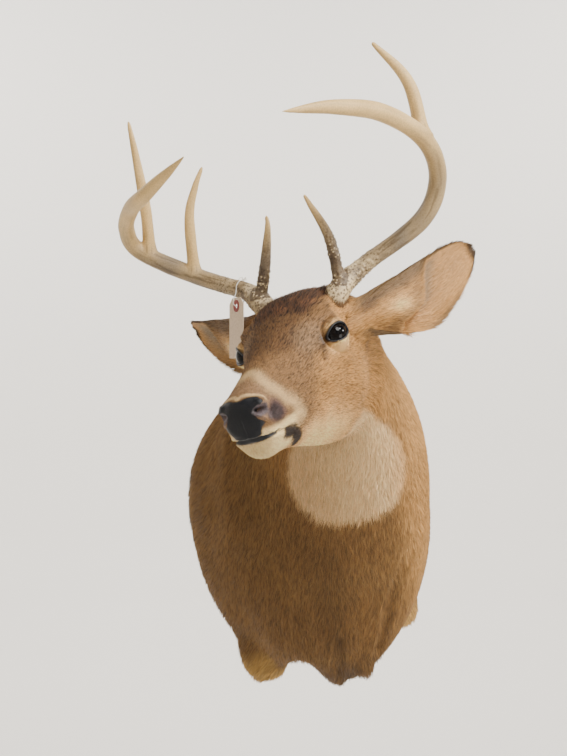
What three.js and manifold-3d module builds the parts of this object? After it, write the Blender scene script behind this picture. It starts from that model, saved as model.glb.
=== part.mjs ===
// Whitetail buck shoulder mount on its back board, life size.
// Millimetres, +Z up. The wall is the plane y = 0 and the mount stands out from it towards -Y,
// so +X is the buck's left. Everything is laid out in the mount's own upright frame, centred on
// the back of the board, and the whole mount then hangs a few degrees off plumb.
import * as THREE from 'three';
import { mergeVertices } from 'three/addons/utils/BufferGeometryUtils.js';
import Module from 'manifold-3d';

const wasm = await Module();
wasm.setup();

// ---- driving dimensions -------------------------------------------------------------------
const DEG = Math.PI / 180;
const HANG_TILT = 10;                 // degrees off plumb, the buck's left side higher
const HEAD_AT = [15, -475, 271];      // midway between the eyes
const HEAD_TURN = -23.4;               // degrees the nose points to the buck's right
const HEAD_DIP = 7;                   // degrees the nose points down
const HEAD_LEAN = -3.3;               // degrees the crown leans to the buck's right
const GAP = 0.4;                      // clearance between neighbouring solids

const EYE_AT = [59.5, 2, 3.5];        // middle of the left eyeball, from the head's origin
const EYE_RADIUS = 17;

const EAR_LENGTH = 178;
const EAR_THICKNESS = 5;

const BOARD_THICKNESS = 18;
const BOARD_INSET = 13;               // the board's edge inside the coat's outline
const HANGER = { width: 62, height: 16, thickness: 1.6, up: 185, pocket: 2.6 };

const TAG = { width: 40, height: 80, thickness: 0.8, corner: 8.5, eyeDown: 11 };
const TAG_RING = { inner: 3.2, outer: 8.2, thickness: 1.4 };
const TAG_EYE_AT = [-103, -398.5, 325];   // plumb frame: the tag hangs straight down
const TAG_TURN = 119.5;                   // degrees from facing the viewer
const STRING_RADIUS = 0.7;
const KNOT_AT = [-94.5, -369.7, 362.3];

// ---- materials -----------------------------------------------------------------------------
const finish = (color, roughness, metalness = 0) =>
  new THREE.MeshStandardMaterial({ color, roughness, metalness });
const COAT_BROWN = '#8c6338';
const COAT_CREAM = '#c9b08a';
const COAT_TAN = '#b58a5a';
const NOSE_BLACK = '#17181b';
const EYE_DARK = '#140c08';
const ANTLER_IVORY = '#b9a37c';
const PLYWOOD = '#c09a66';
const STEEL = '#8f9296';
const MANILA = '#cbb69a';
const RING_RED = '#8a2f2a';
const STRING_WHITE = '#e6e1d6';

// ---- small helpers -------------------------------------------------------------------------
const vec = (p) => new THREE.Vector3(p[0], p[1], p[2]);
const mirrored = (p, side) => [p[0] * side, p[1], p[2]];
const clamp01 = (t) => Math.min(1, Math.max(0, t));
const smooth = (t) => clamp01(t) ** 2 * (3 - 2 * clamp01(t));

// A smooth curve through (knots, values): cubic Hermite pieces with averaged slopes.
function spline(knots, values) {
  const slope = (i) => {
    const a = Math.max(i - 1, 0);
    const b = Math.min(i + 1, knots.length - 1);
    return (values[b] - values[a]) / (knots[b] - knots[a]);
  };
  return (t) => {
    let i = 0;
    while (i < knots.length - 2 && t > knots[i + 1]) i += 1;
    const h = knots[i + 1] - knots[i];
    const u = (t - knots[i]) / h;
    const v = 1 - u;
    return values[i] * (1 + 2 * u) * v * v + slope(i) * h * u * v * v
      + values[i + 1] * (3 - 2 * u) * u * u - slope(i + 1) * h * v * u * u;
  };
}

// A closed mesh from rings of points, each ring with the same even count. Each end is closed by
// strips from a point to its opposite, which also suits an end that is bent like a C.
function skinOfRings(rings) {
  const around = rings[0].length;
  const positions = rings.flatMap((ring) => ring.flatMap((p) => [p.x, p.y, p.z]));
  const indices = [];
  for (let i = 0; i < rings.length - 1; i += 1) {
    for (let j = 0; j < around; j += 1) {
      const k = (j + 1) % around;
      const a = i * around;
      const b = a + around;
      indices.push(a + j, b + j, a + k, a + k, b + j, b + k);
    }
  }
  const last = (rings.length - 1) * around;
  for (let j = 0; j < around / 2 - 1; j += 1) {
    const [p, q] = [j + 1, around - 1 - j];
    indices.push(j, p, q, p, q - 1, q);
    indices.push(last + j, last + q, last + p, last + p, last + q, last + q - 1);
  }
  const geometry = new THREE.BufferGeometry();
  geometry.setAttribute('position', new THREE.Float32BufferAttribute(positions, 3));
  geometry.setIndex(indices);
  return geometry;
}

// The exact solid of a closed mesh, turned the right way round if need be.
function solidOf(geometry) {
  const bare = geometry.clone();
  bare.deleteAttribute('normal');
  bare.deleteAttribute('uv');
  const merged = mergeVertices(bare, 1e-4);
  const index = Array.from(merged.index.array);
  const vertProperties = new Float32Array(merged.attributes.position.array);
  const corner = (n) => vec(vertProperties.slice(3 * n, 3 * n + 3));
  const triangles = [];
  let volume = 0;
  for (let i = 0; i < index.length; i += 3) {
    const [a, b, c] = [index[i], index[i + 1], index[i + 2]];
    if (a === b || b === c || c === a) continue;
    triangles.push([a, b, c]);
    volume += corner(a).dot(corner(b).cross(corner(c)));
  }
  const triVerts = new Uint32Array(triangles.flatMap(([a, b, c]) => (volume < 0 ? [a, c, b] : [a, b, c])));
  return new wasm.Manifold(new wasm.Mesh({ numProp: 3, vertProperties, triVerts }));
}

function geometryOf(solid) {
  const mesh = solid.getMesh();
  const positions = new Float32Array(mesh.numVert * 3);
  for (let i = 0; i < mesh.numVert; i += 1) {
    for (let k = 0; k < 3; k += 1) positions[3 * i + k] = mesh.vertProperties[mesh.numProp * i + k];
  }
  const geometry = new THREE.BufferGeometry();
  geometry.setAttribute('position', new THREE.BufferAttribute(positions, 3));
  geometry.setIndex(Array.from(mesh.triVerts));
  geometry.computeVertexNormals();
  return geometry;
}

// The largest single piece of a solid, without the crumbs that a cut may leave.
function mainPiece(solid) {
  return solid.decompose().reduce((best, piece) => (piece.volume() > best.volume() ? piece : best));
}

const group = new THREE.Group();
const mount = new THREE.Group();
mount.rotation.y = -HANG_TILT * DEG;
group.add(mount);

function addPart(name, solid, material, parent = mount) {
  const mesh = new THREE.Mesh(geometryOf(mainPiece(solid)), material);
  mesh.name = name;
  parent.add(mesh);
}

// ---- the head's own frame --------------------------------------------------------------------
// X is the buck's left, Y runs back from the nose, Z is up, with the palate level.
const headFrame = new THREE.Matrix4().makeRotationFromEuler(
  new THREE.Euler(HEAD_DIP * DEG, HEAD_LEAN * DEG, HEAD_TURN * DEG, 'ZXY'),
).setPosition(...HEAD_AT);
const headInverse = headFrame.clone().invert();
const headPoint = (p) => vec(p).applyMatrix4(headFrame);
const headDirection = (p) => vec(p).transformDirection(headFrame);
const bodySide = vec([1, 0, 0]);
const headSide = headDirection([1, 0, 0]);

// ---- head, neck and shoulders as one run of sections -------------------------------------------
// Each section goes from a point on the lower line to one on the upper line. `wide` is its half
// width, `level` is how far up the widest part is, and `crown` and `keel` are the fullness of the
// upper and lower halves: 2 is a plain ellipse, more is squarer, less is sharper.
const HEAD_SECTIONS = [
  { top: [-192, -46], low: [-192, -50], wide: 3, level: 0.5, crown: 2, keel: 2 },
  { top: [-190, -37], low: [-190, -60], wide: 14, level: 0.5, crown: 2, keel: 2 },
  { top: [-185, -30], low: [-187, -73], wide: 22, level: 0.52, crown: 2.2, keel: 2.2 },
  { top: [-175, -24], low: [-181, -80], wide: 27, level: 0.52, crown: 2.3, keel: 2.3 },
  { top: [-160, -18], low: [-173, -95], wide: 29, level: 0.52, crown: 2.3, keel: 2.3 },
  { top: [-142, -11], low: [-159, -103], wide: 30, level: 0.54, crown: 2.2, keel: 2.2 },
  { top: [-122, -4], low: [-134, -105], wide: 31.5, level: 0.54, crown: 2.2, keel: 2 },
  { top: [-98, 6], low: [-104, -108], wide: 35, level: 0.56, crown: 2.1, keel: 1.9 },
  { top: [-73, 16], low: [-74, -113], wide: 41, level: 0.6, crown: 2.1, keel: 1.8 },
  { top: [-48, 27], low: [-46, -119], wide: 49, level: 0.66, crown: 2.2, keel: 1.75 },
  { top: [-22, 38], low: [-18, -126], wide: 58, level: 0.7, crown: 2.4, keel: 1.7 },
  { top: [4, 48], low: [10, -132], wide: 64, level: 0.7, crown: 2.6, keel: 1.7 },
  { top: [32, 56], low: [38, -137], wide: 66, level: 0.68, crown: 2.8, keel: 1.8 },
  { top: [60, 60], low: [64, -140], wide: 66, level: 0.64, crown: 2.8, keel: 1.9 },
  { top: [88, 59], low: [88, -141], wide: 67, level: 0.6, crown: 2.4, keel: 2 },
];
const BODY_SECTIONS = [
  { top: [61, -364, 337], low: [59, -372, 130], wide: 78, level: 0.54, crown: 2.1, keel: 2 },
  { top: [58, -330, 332], low: [50, -346, 85], wide: 90, level: 0.52, crown: 2, keel: 2 },
  { top: [55, -292, 326], low: [42, -318, 20], wide: 107, level: 0.5, crown: 2, keel: 1.9 },
  { top: [51, -252, 317], low: [33, -289, -56], wide: 128, level: 0.5, crown: 2, keel: 1.9 },
  { top: [51, -210, 307], low: [24, -256, -133], wide: 150, level: 0.5, crown: 2, keel: 1.8 },
  { top: [44, -165, 299], low: [13, -217, -201], wide: 161, level: 0.5, crown: 2.1, keel: 1.8 },
  { top: [32, -115, 279], low: [4, -165, -241], wide: 172, level: 0.5, crown: 2.1, keel: 1.8 },
  { top: [22, -60, 252], low: [-8, -95, -233], wide: 191, level: 0.52, crown: 2.2, keel: 2.1 },
  { top: [14, -1, 236], low: [-10, -1, -199], wide: 198, level: 0.52, crown: 2.2, keel: 2.1 },
];
const NECK_START = HEAD_SECTIONS.length - 1;
const CHEST_START = NECK_START + 4;
const SHOULDER_START = NECK_START + 7;

const sections = [
  ...HEAD_SECTIONS.map((s) => ({
    ...s, top: headPoint([0, ...s.top]), low: headPoint([0, ...s.low]), side: headSide,
  })),
  ...BODY_SECTIONS.map((s, i) => ({
    ...s, top: vec(s.top), low: vec(s.low), side: headSide.clone().lerp(bodySide, (i + 1) / 5).normalize(),
  })),
];
sections.slice(NECK_START + 6).forEach((s) => s.side.copy(bodySide));

const stations = [0];
sections.slice(1).forEach((s, i) => {
  const middle = (q) => q.top.clone().lerp(q.low, 0.5);
  stations.push(stations[i] + middle(s).distanceTo(middle(sections[i])));
});
const along = (pick) => spline(stations, sections.map(pick));
const alongVector = (pick) => {
  const [x, y, z] = ['x', 'y', 'z'].map((axis) => along((s) => pick(s)[axis]));
  return (t) => vec([x(t), y(t), z(t)]);
};
const lineTop = alongVector((s) => s.top);
const lineLow = alongVector((s) => s.low);
const lineSide = alongVector((s) => s.side);
const lineWide = along((s) => s.wide);
const lineLevel = along((s) => s.level);
const lineCrown = along((s) => s.crown);
const lineKeel = along((s) => s.keel);

// Swellings and hollows of the skull and face, in the head's frame, on both sides:
// a middle, a reach along each axis and the push at the middle.
const FACE_FORMS = [
  { at: [55, 0, 24], reach: [26, 30, 18], push: [5, -1, 4] },        // brow over the eye
  { at: [65, -5, 1], reach: [26, 27, 21], push: [-12, 3, 0] },       // socket
  { at: [50, -38, -16], reach: [14, 18, 16], push: [-4, 0, 0] },     // hollow of the tear gland
  { at: [60, 14, -28], reach: [22, 46, 16], push: [4, 0, 0] },       // cheek bone
  { at: [50, 52, -66], reach: [30, 48, 44], push: [7, 0, 0] },       // jaw muscle
  { at: [38, -40, -62], reach: [22, 34, 26], push: [-4, 0, 0] },     // hollow ahead of it
  { at: [24, -176, -38], reach: [14, 16, 14], push: [3, -1, 1] },    // nostril wing
  { at: [30, -140, -62], reach: [14, 40, 14], push: [3, 0, 0] },     // upper lip
  { at: [54, 48, 36], reach: [22, 26, 18], push: [-5, 0, 0] },       // temple
  { at: [48, 62, 62], reach: [24, 26, 24], push: [4, 0, 6] },        // antler pedicle
];

function faceForms(point) {
  const local = point.clone().applyMatrix4(headInverse);
  const moved = local.clone();
  FACE_FORMS.forEach(({ at, reach, push }) => {
    [1, -1].forEach((side) => {
      const centre = vec(mirrored(at, side));
      const r = vec([(local.x - centre.x) / reach[0], (local.y - centre.y) / reach[1],
        (local.z - centre.z) / reach[2]]).lengthSq();
      if (r < 1) moved.addScaledVector(vec(mirrored(push, side)), (1 - r) ** 2);
    });
  });
  return moved.applyMatrix4(headFrame);
}

// The hollow between the brisket's keel and the right foreleg, in the mount's frame.
const BRISKET_HOLLOW = { at: [-45, -140, -225], reach: [44, 120, 62], push: [0, 0, 28] };

function brisketHollow(point) {
  const { at, reach, push } = BRISKET_HOLLOW;
  const r = vec([(point.x - at[0]) / reach[0], (point.y - at[1]) / reach[1],
    (point.z - at[2]) / reach[2]]).lengthSq();
  return r < 1 ? point.addScaledVector(vec(push), (1 - r) ** 2) : point;
}

// A point of the outer coat: t runs from the nose to the wall, angle runs round the section from
// the buck's left side over the top.
function coatPoint(t, angle, grow = 0) {
  const top = lineTop(t);
  const low = lineLow(t);
  const side = lineSide(t).normalize();
  const level = lineLevel(t);
  const upper = Math.sin(angle) >= 0;
  const power = 2 / (upper ? lineCrown(t) : lineKeel(t));
  const out = Math.sign(Math.cos(angle)) * Math.abs(Math.cos(angle)) ** power * lineWide(t);
  const rise = Math.abs(Math.sin(angle)) ** power * (upper ? 1 - level : -level);
  const centre = low.clone().lerp(top, level);
  const point = brisketHollow(faceForms(low.clone().lerp(top, level + rise).addScaledVector(side, out)));
  return point.addScaledVector(point.clone().sub(centre).normalize(), grow);
}

function coatRings(from, to, perSection, around, grow = 0) {
  const rings = [];
  const steps = Math.max(1, Math.round((to - from) * perSection));
  for (let i = 0; i <= steps; i += 1) {
    const place = from + ((to - from) * i) / steps;
    const k = Math.min(Math.floor(place), stations.length - 2);
    let t = stations[k] + (place - k) * (stations[k + 1] - stations[k]);
    if (i === 0 && from > 0) t += GAP;
    const ring = [];
    for (let j = 0; j < around; j += 1) ring.push(coatPoint(t, (2 * Math.PI * j) / around, grow));
    rings.push(ring);
  }
  return rings;
}

const HEAD_AROUND = 26;
const BODY_AROUND = 28;
const LAST = stations.length - 1;
const NOSE_END = 3;
const noseSolid = solidOf(skinOfRings(coatRings(0, NOSE_END, 2, HEAD_AROUND)));
const headWhole = solidOf(skinOfRings(coatRings(NOSE_END, NECK_START, 2, HEAD_AROUND)));
const neckSolid = solidOf(skinOfRings(coatRings(NECK_START, CHEST_START, 2, BODY_AROUND)));
const chestSolid = solidOf(skinOfRings(coatRings(CHEST_START, SHOULDER_START, 2, BODY_AROUND)));
const shoulderWhole = solidOf(skinOfRings(coatRings(SHOULDER_START, LAST, 2, BODY_AROUND)));
const headGrown = solidOf(skinOfRings(coatRings(NOSE_END, NECK_START + 2, 2, HEAD_AROUND, GAP)));
const trunkGrown = solidOf(skinOfRings(coatRings(CHEST_START, LAST, 2, BODY_AROUND, GAP)));

// ---- eyes and lower jaw ------------------------------------------------------------------------
const ball = (at, radius, wide, high) => {
  const geometry = new THREE.SphereGeometry(radius, wide, high);
  return solidOf(geometry.translate(at.x, at.y, at.z));
};
const boxInHead = (size, at) => {
  const geometry = new THREE.BoxGeometry(...size).translate(...at);
  return solidOf(geometry.applyMatrix4(headFrame));
};
const JAW_TOP = -82;                  // level of the lips in the head's frame
const JAW_BACK = -62;                 // how far back the lower jaw's own piece goes
const jawBlock = (grow) => boxInHead([120, 160, 80], [0, JAW_BACK - 80 + grow, JAW_TOP - 40 + grow]);

let headSolid = headWhole.subtract(jawBlock(GAP));
const jawSolid = headWhole.intersect(jawBlock(0));
[1, -1].forEach((side) => {
  const name = side > 0 ? 'eye_left' : 'eye_right';
  const at = headPoint(mirrored(EYE_AT, side));
  headSolid = headSolid.subtract(ball(at, EYE_RADIUS + GAP, 20, 14));
  addPart(name, ball(at, EYE_RADIUS, 16, 10), finish(EYE_DARK, 0.08));
});

// ---- ears --------------------------------------------------------------------------------------
// The ear is a leaf rolled into a tube at its root and open at its tip. `lengthwise` points from
// root to tip, `opening` is the way the hollow faces.
const EAR_OPENING = [0.25, -0.94, -0.07];
// Twist is in degrees, and roll is how far the ear curls at two places of its length.
const EARS = {
  left: { side: 1, base: [61, 88, 8], lengthwise: [0.855, 0.47, 0.225], twist: 0, roll: [1.7, 1.15] },
  right: { side: -1, base: [57.7, 92.1, 27.7], lengthwise: [0.857, 0.51, 0.069], twist: -15, roll: [1.51, 0.96] },
};
// Half the arc across the ear, and how far its middle lies towards the lower edge.
const earWidth = spline([0, 0.12, 0.35, 0.5, 0.68, 0.8, 0.92, 1], [58, 51, 49.5, 48, 39, 31.5, 21, 7]);
const earShift = spline([0, 0.35, 0.5, 0.68, 0.85, 1], [0, 12.5, 13.5, 7.5, -0.5, -6]);
// The front edge folds over the root, so the hollow opens only beyond this share of the length.
const earFold = spline([-1, -0.5, -0.1, 0.2, 0.4, 0.55, 1], [0.6, 0.53, 0.48, 0.44, 0.33, 0.26, 0.2]);

function earSolid({ side, base, lengthwise, twist, roll: curls }) {
  const earRoll = spline([0, 0.2, 0.45, 0.75, 1], [2.6, ...curls, 0.8, 0.5]);
  const axis = headDirection(mirrored(lengthwise, side));
  const open = headDirection(mirrored(EAR_OPENING, side));
  open.addScaledVector(axis, -open.dot(axis)).normalize().applyAxisAngle(axis, twist * DEG);
  const across = axis.clone().cross(open).multiplyScalar(side);
  const root = headPoint(mirrored(base, side));
  const lengths = 10;
  const widths = 9;
  // `folded` is how far the place belongs to the fold, which spans the hollow from edge to edge.
  const point = (u, v, thickness, folded = 0) => {
    const roll = earRoll(u);
    const radius = earWidth(u) / roll;
    const bend = v * roll;
    const bulge = 8 * (1 - u) * (1 - v * v);
    const sideways = (radius + thickness) * Math.sin(bend) * (1 - folded)
      + radius * v * Math.sin(roll) * folded;
    const depth = (radius + thickness) * Math.cos(bend) * (1 - folded)
      + (radius * Math.cos(roll) - bulge) * folded;
    return root.clone()
      .addScaledVector(axis, u * EAR_LENGTH)
      .addScaledVector(across, sideways + earShift(u))
      .addScaledVector(open, radius - depth + 12 * smooth(u) - 6 * u * u);
  };
  const rings = [];
  for (let i = 0; i <= lengths; i += 1) {
    const u = i / lengths;
    const thickness = EAR_THICKNESS * (1 - 0.55 * u);
    const ring = [];
    for (let j = 0; j <= widths; j += 1) ring.push(point(u, (2 * j) / widths - 1, thickness));
    for (let j = widths; j >= 0; j -= 1) {
      const v = ((2 * j) / widths - 1) * 0.96;
      ring.push(point(u, v, 0, smooth((earFold(v) + 0.03 - u) / 0.07)));
    }
    rings.push(ring);
  }
  return solidOf(skinOfRings(rings));
}

// ---- antlers -----------------------------------------------------------------------------------
// A bony tube that follows a curve, thinning as it goes. `radius` takes 0 at the start to 1.
function boneTube(curve, radius, from, to, steps, sides, grow = 0) {
  const rings = [];
  let across = null;
  for (let i = 0; i <= steps; i += 1) {
    const u = from + ((to - from) * i) / steps;
    const centre = curve.getPointAt(u);
    const heading = curve.getTangentAt(u);
    if (!across) across = new THREE.Vector3().crossVectors(heading, vec([0.3, 1, 0.2]));
    across.addScaledVector(heading, -across.dot(heading)).normalize();
    const up = heading.clone().cross(across);
    const ring = [];
    for (let j = 0; j < sides; j += 1) {
      const angle = (2 * Math.PI * j) / sides;
      ring.push(centre.clone()
        .addScaledVector(across, (radius(u) + grow) * Math.cos(angle))
        .addScaledVector(up, (radius(u) + grow) * Math.sin(angle)));
    }
    rings.push(ring);
  }
  return solidOf(skinOfRings(rings));
}

// Points of each beam and tine in the head's frame, given as for the left side: outwards, back
// and up. A tine's root is a place on its beam, from 0 at the burr to 1 at the tip.
const ANTLERS = {
  left: {
    side: 1,
    beam: [[45, 58, 26], [59, 62, 50], [91, 90, 72], [173, 113, 107], [209, 106, 151], [218, 57, 197],
      [196, -11, 235], [162, -80, 251], [124, -141, 256]],
    cuts: [0.4, 0.675],
    tines: [
      { name: 'brow_tine', root: 0.065, points: [[66, 61, 117], [58, 45, 166], [58, 35, 177]], radius: 8 },
      { name: 'tine_2', root: 0.57, points: [[215, 62, 270], [186, 56, 328]], radius: 9.3 },
    ],
  },
  right: {
    side: -1,
    beam: [[38, 56, 40], [52, 63, 63], [76, 82, 81], [140, 93, 115], [213, 83, 172], [208, 53, 204],
      [169, 9, 223], [113, -48, 229], [28, -84, 253]],
    cuts: [0.37, 0.64],
    tines: [
      { name: 'brow_tine', root: 0.054, points: [[36, 61, 91], [9, 52, 148], [2, 45, 167]], radius: 8.4 },
      { name: 'tine_2', root: 0.284, points: [[131, 91, 196], [111, 92, 233], [93, 95, 257]], radius: 8.6 },
      { name: 'tine_3', root: 0.418, points: [[190, 86, 220], [179, 81, 289], [172, 77, 344]], radius: 8.8 },
    ],
  },
};
const beamRadius = spline([0, 0.05, 0.09, 0.14, 0.2, 0.33, 0.47, 0.62, 0.73, 0.81, 0.88, 0.935, 1],
  [15.5, 15, 13.2, 11.5, 11, 11.8, 11.4, 10.8, 10.5, 9.6, 7.8, 5.3, 1.2]);
const tineTaper = spline([0, 0.12, 0.4, 0.6, 0.8, 0.92, 1], [1.4, 1, 0.9, 0.74, 0.5, 0.3, 0.12]);
const BONE_SIDES = 10;

const curveThrough = (points) => new THREE.CatmullRomCurve3(points, false, 'catmullrom');
const beamCurve = ({ side, beam }) => curveThrough(beam.map((p) => headPoint(mirrored(p, side))));
const beamGrown = (antler) => boneTube(beamCurve(antler), beamRadius, 0, 1, 40, BONE_SIDES, 3 * GAP);

function addAntler(name, antler) {
  const { side, cuts, tines } = antler;
  const spine = beamCurve(antler);
  const gapAlong = GAP / spine.getLength();
  const whole = beamGrown(antler);
  const bone = finish(ANTLER_IVORY, 0.55);
  const bounds = [0, ...cuts, 1];
  const parts = ['beam_lower', 'beam_middle', 'beam_upper'];
  parts.forEach((part, i) => {
    const from = bounds[i] + (i > 0 ? gapAlong : 0);
    const steps = Math.round((bounds[i + 1] - bounds[i]) * 26);
    let solid = boneTube(spine, beamRadius, from, bounds[i + 1], steps, BONE_SIDES);
    if (i === 0) solid = solid.subtract(headGrown);
    addPart(`antler_${name}_${part}`, solid, bone);
  });
  tines.forEach((tine) => {
    const root = spine.getPointAt(tine.root);
    const curve = curveThrough([root, ...tine.points.map((p) => headPoint(mirrored(p, side)))]);
    const radius = (u) => tine.radius * tineTaper(u);
    const solid = boneTube(curve, radius, 0, 1, 8, BONE_SIDES).subtract(whole).subtract(headGrown);
    addPart(`antler_${name}_${tine.name}`, solid, bone);
  });
}

// ---- back board, hanger and foreleg stubs --------------------------------------------------------
function boardSolid(inset, front) {
  const outline = coatRings(LAST - 1, LAST, 1, 64, -inset)[1];
  const back = outline.map((p) => vec([p.x, 0, p.z]));
  return solidOf(skinOfRings([outline.map((p) => vec([p.x, -front, p.z])), back]));
}
const plainBox = (size, at) => solidOf(new THREE.BoxGeometry(...size).translate(...at));
const hangerPocket = plainBox([HANGER.width + 4, HANGER.pocket * 2, HANGER.height + 4], [0, 0, HANGER.up]);
const hangerPlate = plainBox(
  [HANGER.width, HANGER.thickness, HANGER.height],
  [0, -HANGER.pocket + GAP + HANGER.thickness / 2, HANGER.up],
);

const FORELEG_STUBS = {
  left: { at: [120, -78, -146], radii: [32, 44, 50] },
  right: { at: [-108, -92, -178], radii: [38, 52, 64] },
};
function stubSolid({ at, radii }) {
  const geometry = new THREE.SphereGeometry(1, 16, 12).scale(...radii).translate(...at);
  return solidOf(geometry).subtract(trunkGrown);
}

// ---- price tag on its string ---------------------------------------------------------------------
// The string goes round the right beam near its burr and through the tag's eye. Its two ends meet
// in a knot on top of the beam. These points are in the plumb frame, not the mount's.
const STRING_ROUTE = [
  [-94.9, -372.3, 361.3], [-98.2, -377.2, 360.8], [-101.3, -381.1, 357.9], [-103.6, -383.4, 353],
  [-104, -384.6, 347.4], [-104.4, -393.8, 341], [-106.6, -398.4, 335.4], [-107.2, -399.6, 328.6],
  [-104.7, -399.4, 325.2], [-101.7, -397.7, 323.8], [-99.8, -393.6, 323.6], [-98.6, -387.6, 325.6],
  [-95.2, -375.3, 330.7], [-94.3, -369.3, 334.9], [-93.7, -364.1, 339.6], [-93, -361.3, 345.2],
  [-92.6, -361.2, 352.1], [-93.7, -364.1, 358], [-95.2, -367.5, 360.9],
];
function circleShape(radius, sides) {
  const shape = new THREE.Shape();
  for (let i = 0; i < sides; i += 1) {
    const angle = (2 * Math.PI * i) / sides;
    const point = [radius * Math.cos(angle), radius * Math.sin(angle)];
    if (i === 0) shape.moveTo(...point);
    else shape.lineTo(...point);
  }
  return shape;
}
function tagPiece(shape, thickness) {
  const geometry = new THREE.ExtrudeGeometry(shape, { depth: thickness, bevelEnabled: false, steps: 1 });
  geometry.translate(0, 0, -thickness / 2).rotateX(Math.PI / 2).rotateZ(TAG_TURN * DEG);
  return solidOf(geometry.translate(...TAG_EYE_AT));
}
function tagCardSolid() {
  const half = TAG.width / 2;
  const top = TAG.eyeDown;
  const bottom = top - TAG.height;
  const card = new THREE.Shape();
  card.moveTo(-half, bottom);
  card.lineTo(half, bottom);
  card.lineTo(half, top - TAG.corner);
  card.lineTo(half - TAG.corner, top);
  card.lineTo(-half + TAG.corner, top);
  card.lineTo(-half, top - TAG.corner);
  card.holes.push(circleShape(TAG_RING.outer + GAP, 20));
  return tagPiece(card, TAG.thickness);
}
function tagRingSolid() {
  const ring = circleShape(TAG_RING.outer, 20);
  ring.holes.push(circleShape(TAG_RING.inner, 20));
  return tagPiece(ring, TAG_RING.thickness);
}
function stringSolid() {
  const route = new THREE.CatmullRomCurve3(STRING_ROUTE.map(vec), false, 'catmullrom');
  const section = circleShape(STRING_RADIUS, 8);
  const geometry = new THREE.ExtrudeGeometry(section, { extrudePath: route, steps: 28 });
  return solidOf(geometry);
}
addPart('tag_card', tagCardSolid(), finish(MANILA, 0.85), group);
addPart('tag_ring', tagRingSolid(), finish(RING_RED, 0.7), group);
addPart('tag_string', stringSolid(), finish(STRING_WHITE, 0.9), group);
addPart('tag_knot', ball(vec(KNOT_AT), 1.2, 8, 6), finish(STRING_WHITE, 0.9), group);

addPart('nose', noseSolid, finish(NOSE_BLACK, 0.35));
addPart('head', headSolid, finish(COAT_TAN, 0.9));
addPart('lower_jaw', jawSolid, finish(COAT_CREAM, 0.9));
addPart('neck', neckSolid, finish(COAT_BROWN, 0.9));
addPart('chest', chestSolid, finish(COAT_BROWN, 0.9));
addPart('shoulders', shoulderWhole.subtract(boardSolid(BOARD_INSET - GAP, BOARD_THICKNESS + GAP)),
  finish(COAT_BROWN, 0.9));
[['left', 1], ['right', -1]].forEach(([name, side]) => {
  addPart(`ear_${name}`, earSolid(EARS[name]).subtract(headGrown).subtract(beamGrown(ANTLERS[name])),
    finish(COAT_TAN, 0.9));
  addPart(`foreleg_stub_${name}`, stubSolid(FORELEG_STUBS[name]), finish(COAT_CREAM, 0.9));
  addAntler(name, ANTLERS[name]);
});
addPart('back_board', boardSolid(BOARD_INSET, BOARD_THICKNESS).subtract(hangerPocket), finish(PLYWOOD, 0.7));
addPart('hanger_plate', hangerPlate, finish(STEEL, 0.4, 1));

export default group;
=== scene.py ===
# A whitetail buck shoulder mount, life size, on its back board.
#
# Lengths in this file are millimetres unless a name says metres, and a finished mesh is in metres.
# Three frames are used. The plumb frame is the row's own: the wall is y = 0, the room is at -Y and
# +Z is up. The mount frame is that frame turned by the few degrees that the mount hangs off plumb.
# The head frame has its origin between the eyes: X is the buck's left, Y runs back, Z is up.
from functools import lru_cache
from itertools import product

import bpy
import numpy as np
from bpy.props import FloatProperty, FloatVectorProperty, IntProperty, PointerProperty
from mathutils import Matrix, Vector
from mathutils.bvhtree import BVHTree
from mathutils.kdtree import KDTree


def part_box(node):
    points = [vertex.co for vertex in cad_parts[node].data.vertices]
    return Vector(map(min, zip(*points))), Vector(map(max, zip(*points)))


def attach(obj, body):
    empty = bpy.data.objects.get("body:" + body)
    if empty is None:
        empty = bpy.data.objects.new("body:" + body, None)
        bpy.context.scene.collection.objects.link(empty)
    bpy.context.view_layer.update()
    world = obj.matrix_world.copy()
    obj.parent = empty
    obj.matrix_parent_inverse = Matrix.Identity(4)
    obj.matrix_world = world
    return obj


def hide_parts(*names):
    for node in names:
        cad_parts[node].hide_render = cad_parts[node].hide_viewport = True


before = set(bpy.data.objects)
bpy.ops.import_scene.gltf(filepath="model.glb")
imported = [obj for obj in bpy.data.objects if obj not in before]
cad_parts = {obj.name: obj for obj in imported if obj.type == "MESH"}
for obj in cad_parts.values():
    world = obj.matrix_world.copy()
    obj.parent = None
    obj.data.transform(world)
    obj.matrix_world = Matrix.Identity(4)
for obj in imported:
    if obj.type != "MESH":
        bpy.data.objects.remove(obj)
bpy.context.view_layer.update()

bl_info = {
    "name": "Whitetail shoulder mount",
    "version": (1, 0, 0),
    "blender": (4, 5, 0),
    "location": "View3D > Sidebar > Mount",
    "description": "Builds the skin, coat, antlers, eyes, board and tag of a whitetail buck mount",
    "category": "Add Mesh",
}

MM = 0.001

# ---- the buck's measures ------------------------------------------------------------------------
HANG_TILT = -10.0
HEAD_AT = np.array([15.0, -475.0, 271.0])
HEAD_TURN, HEAD_DIP, HEAD_LEAN = -23.4, 7.0, -3.3
EYE_AT = np.array([59.5, 2.0, 1.3])
EYE_RADIUS = 17.0

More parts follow.
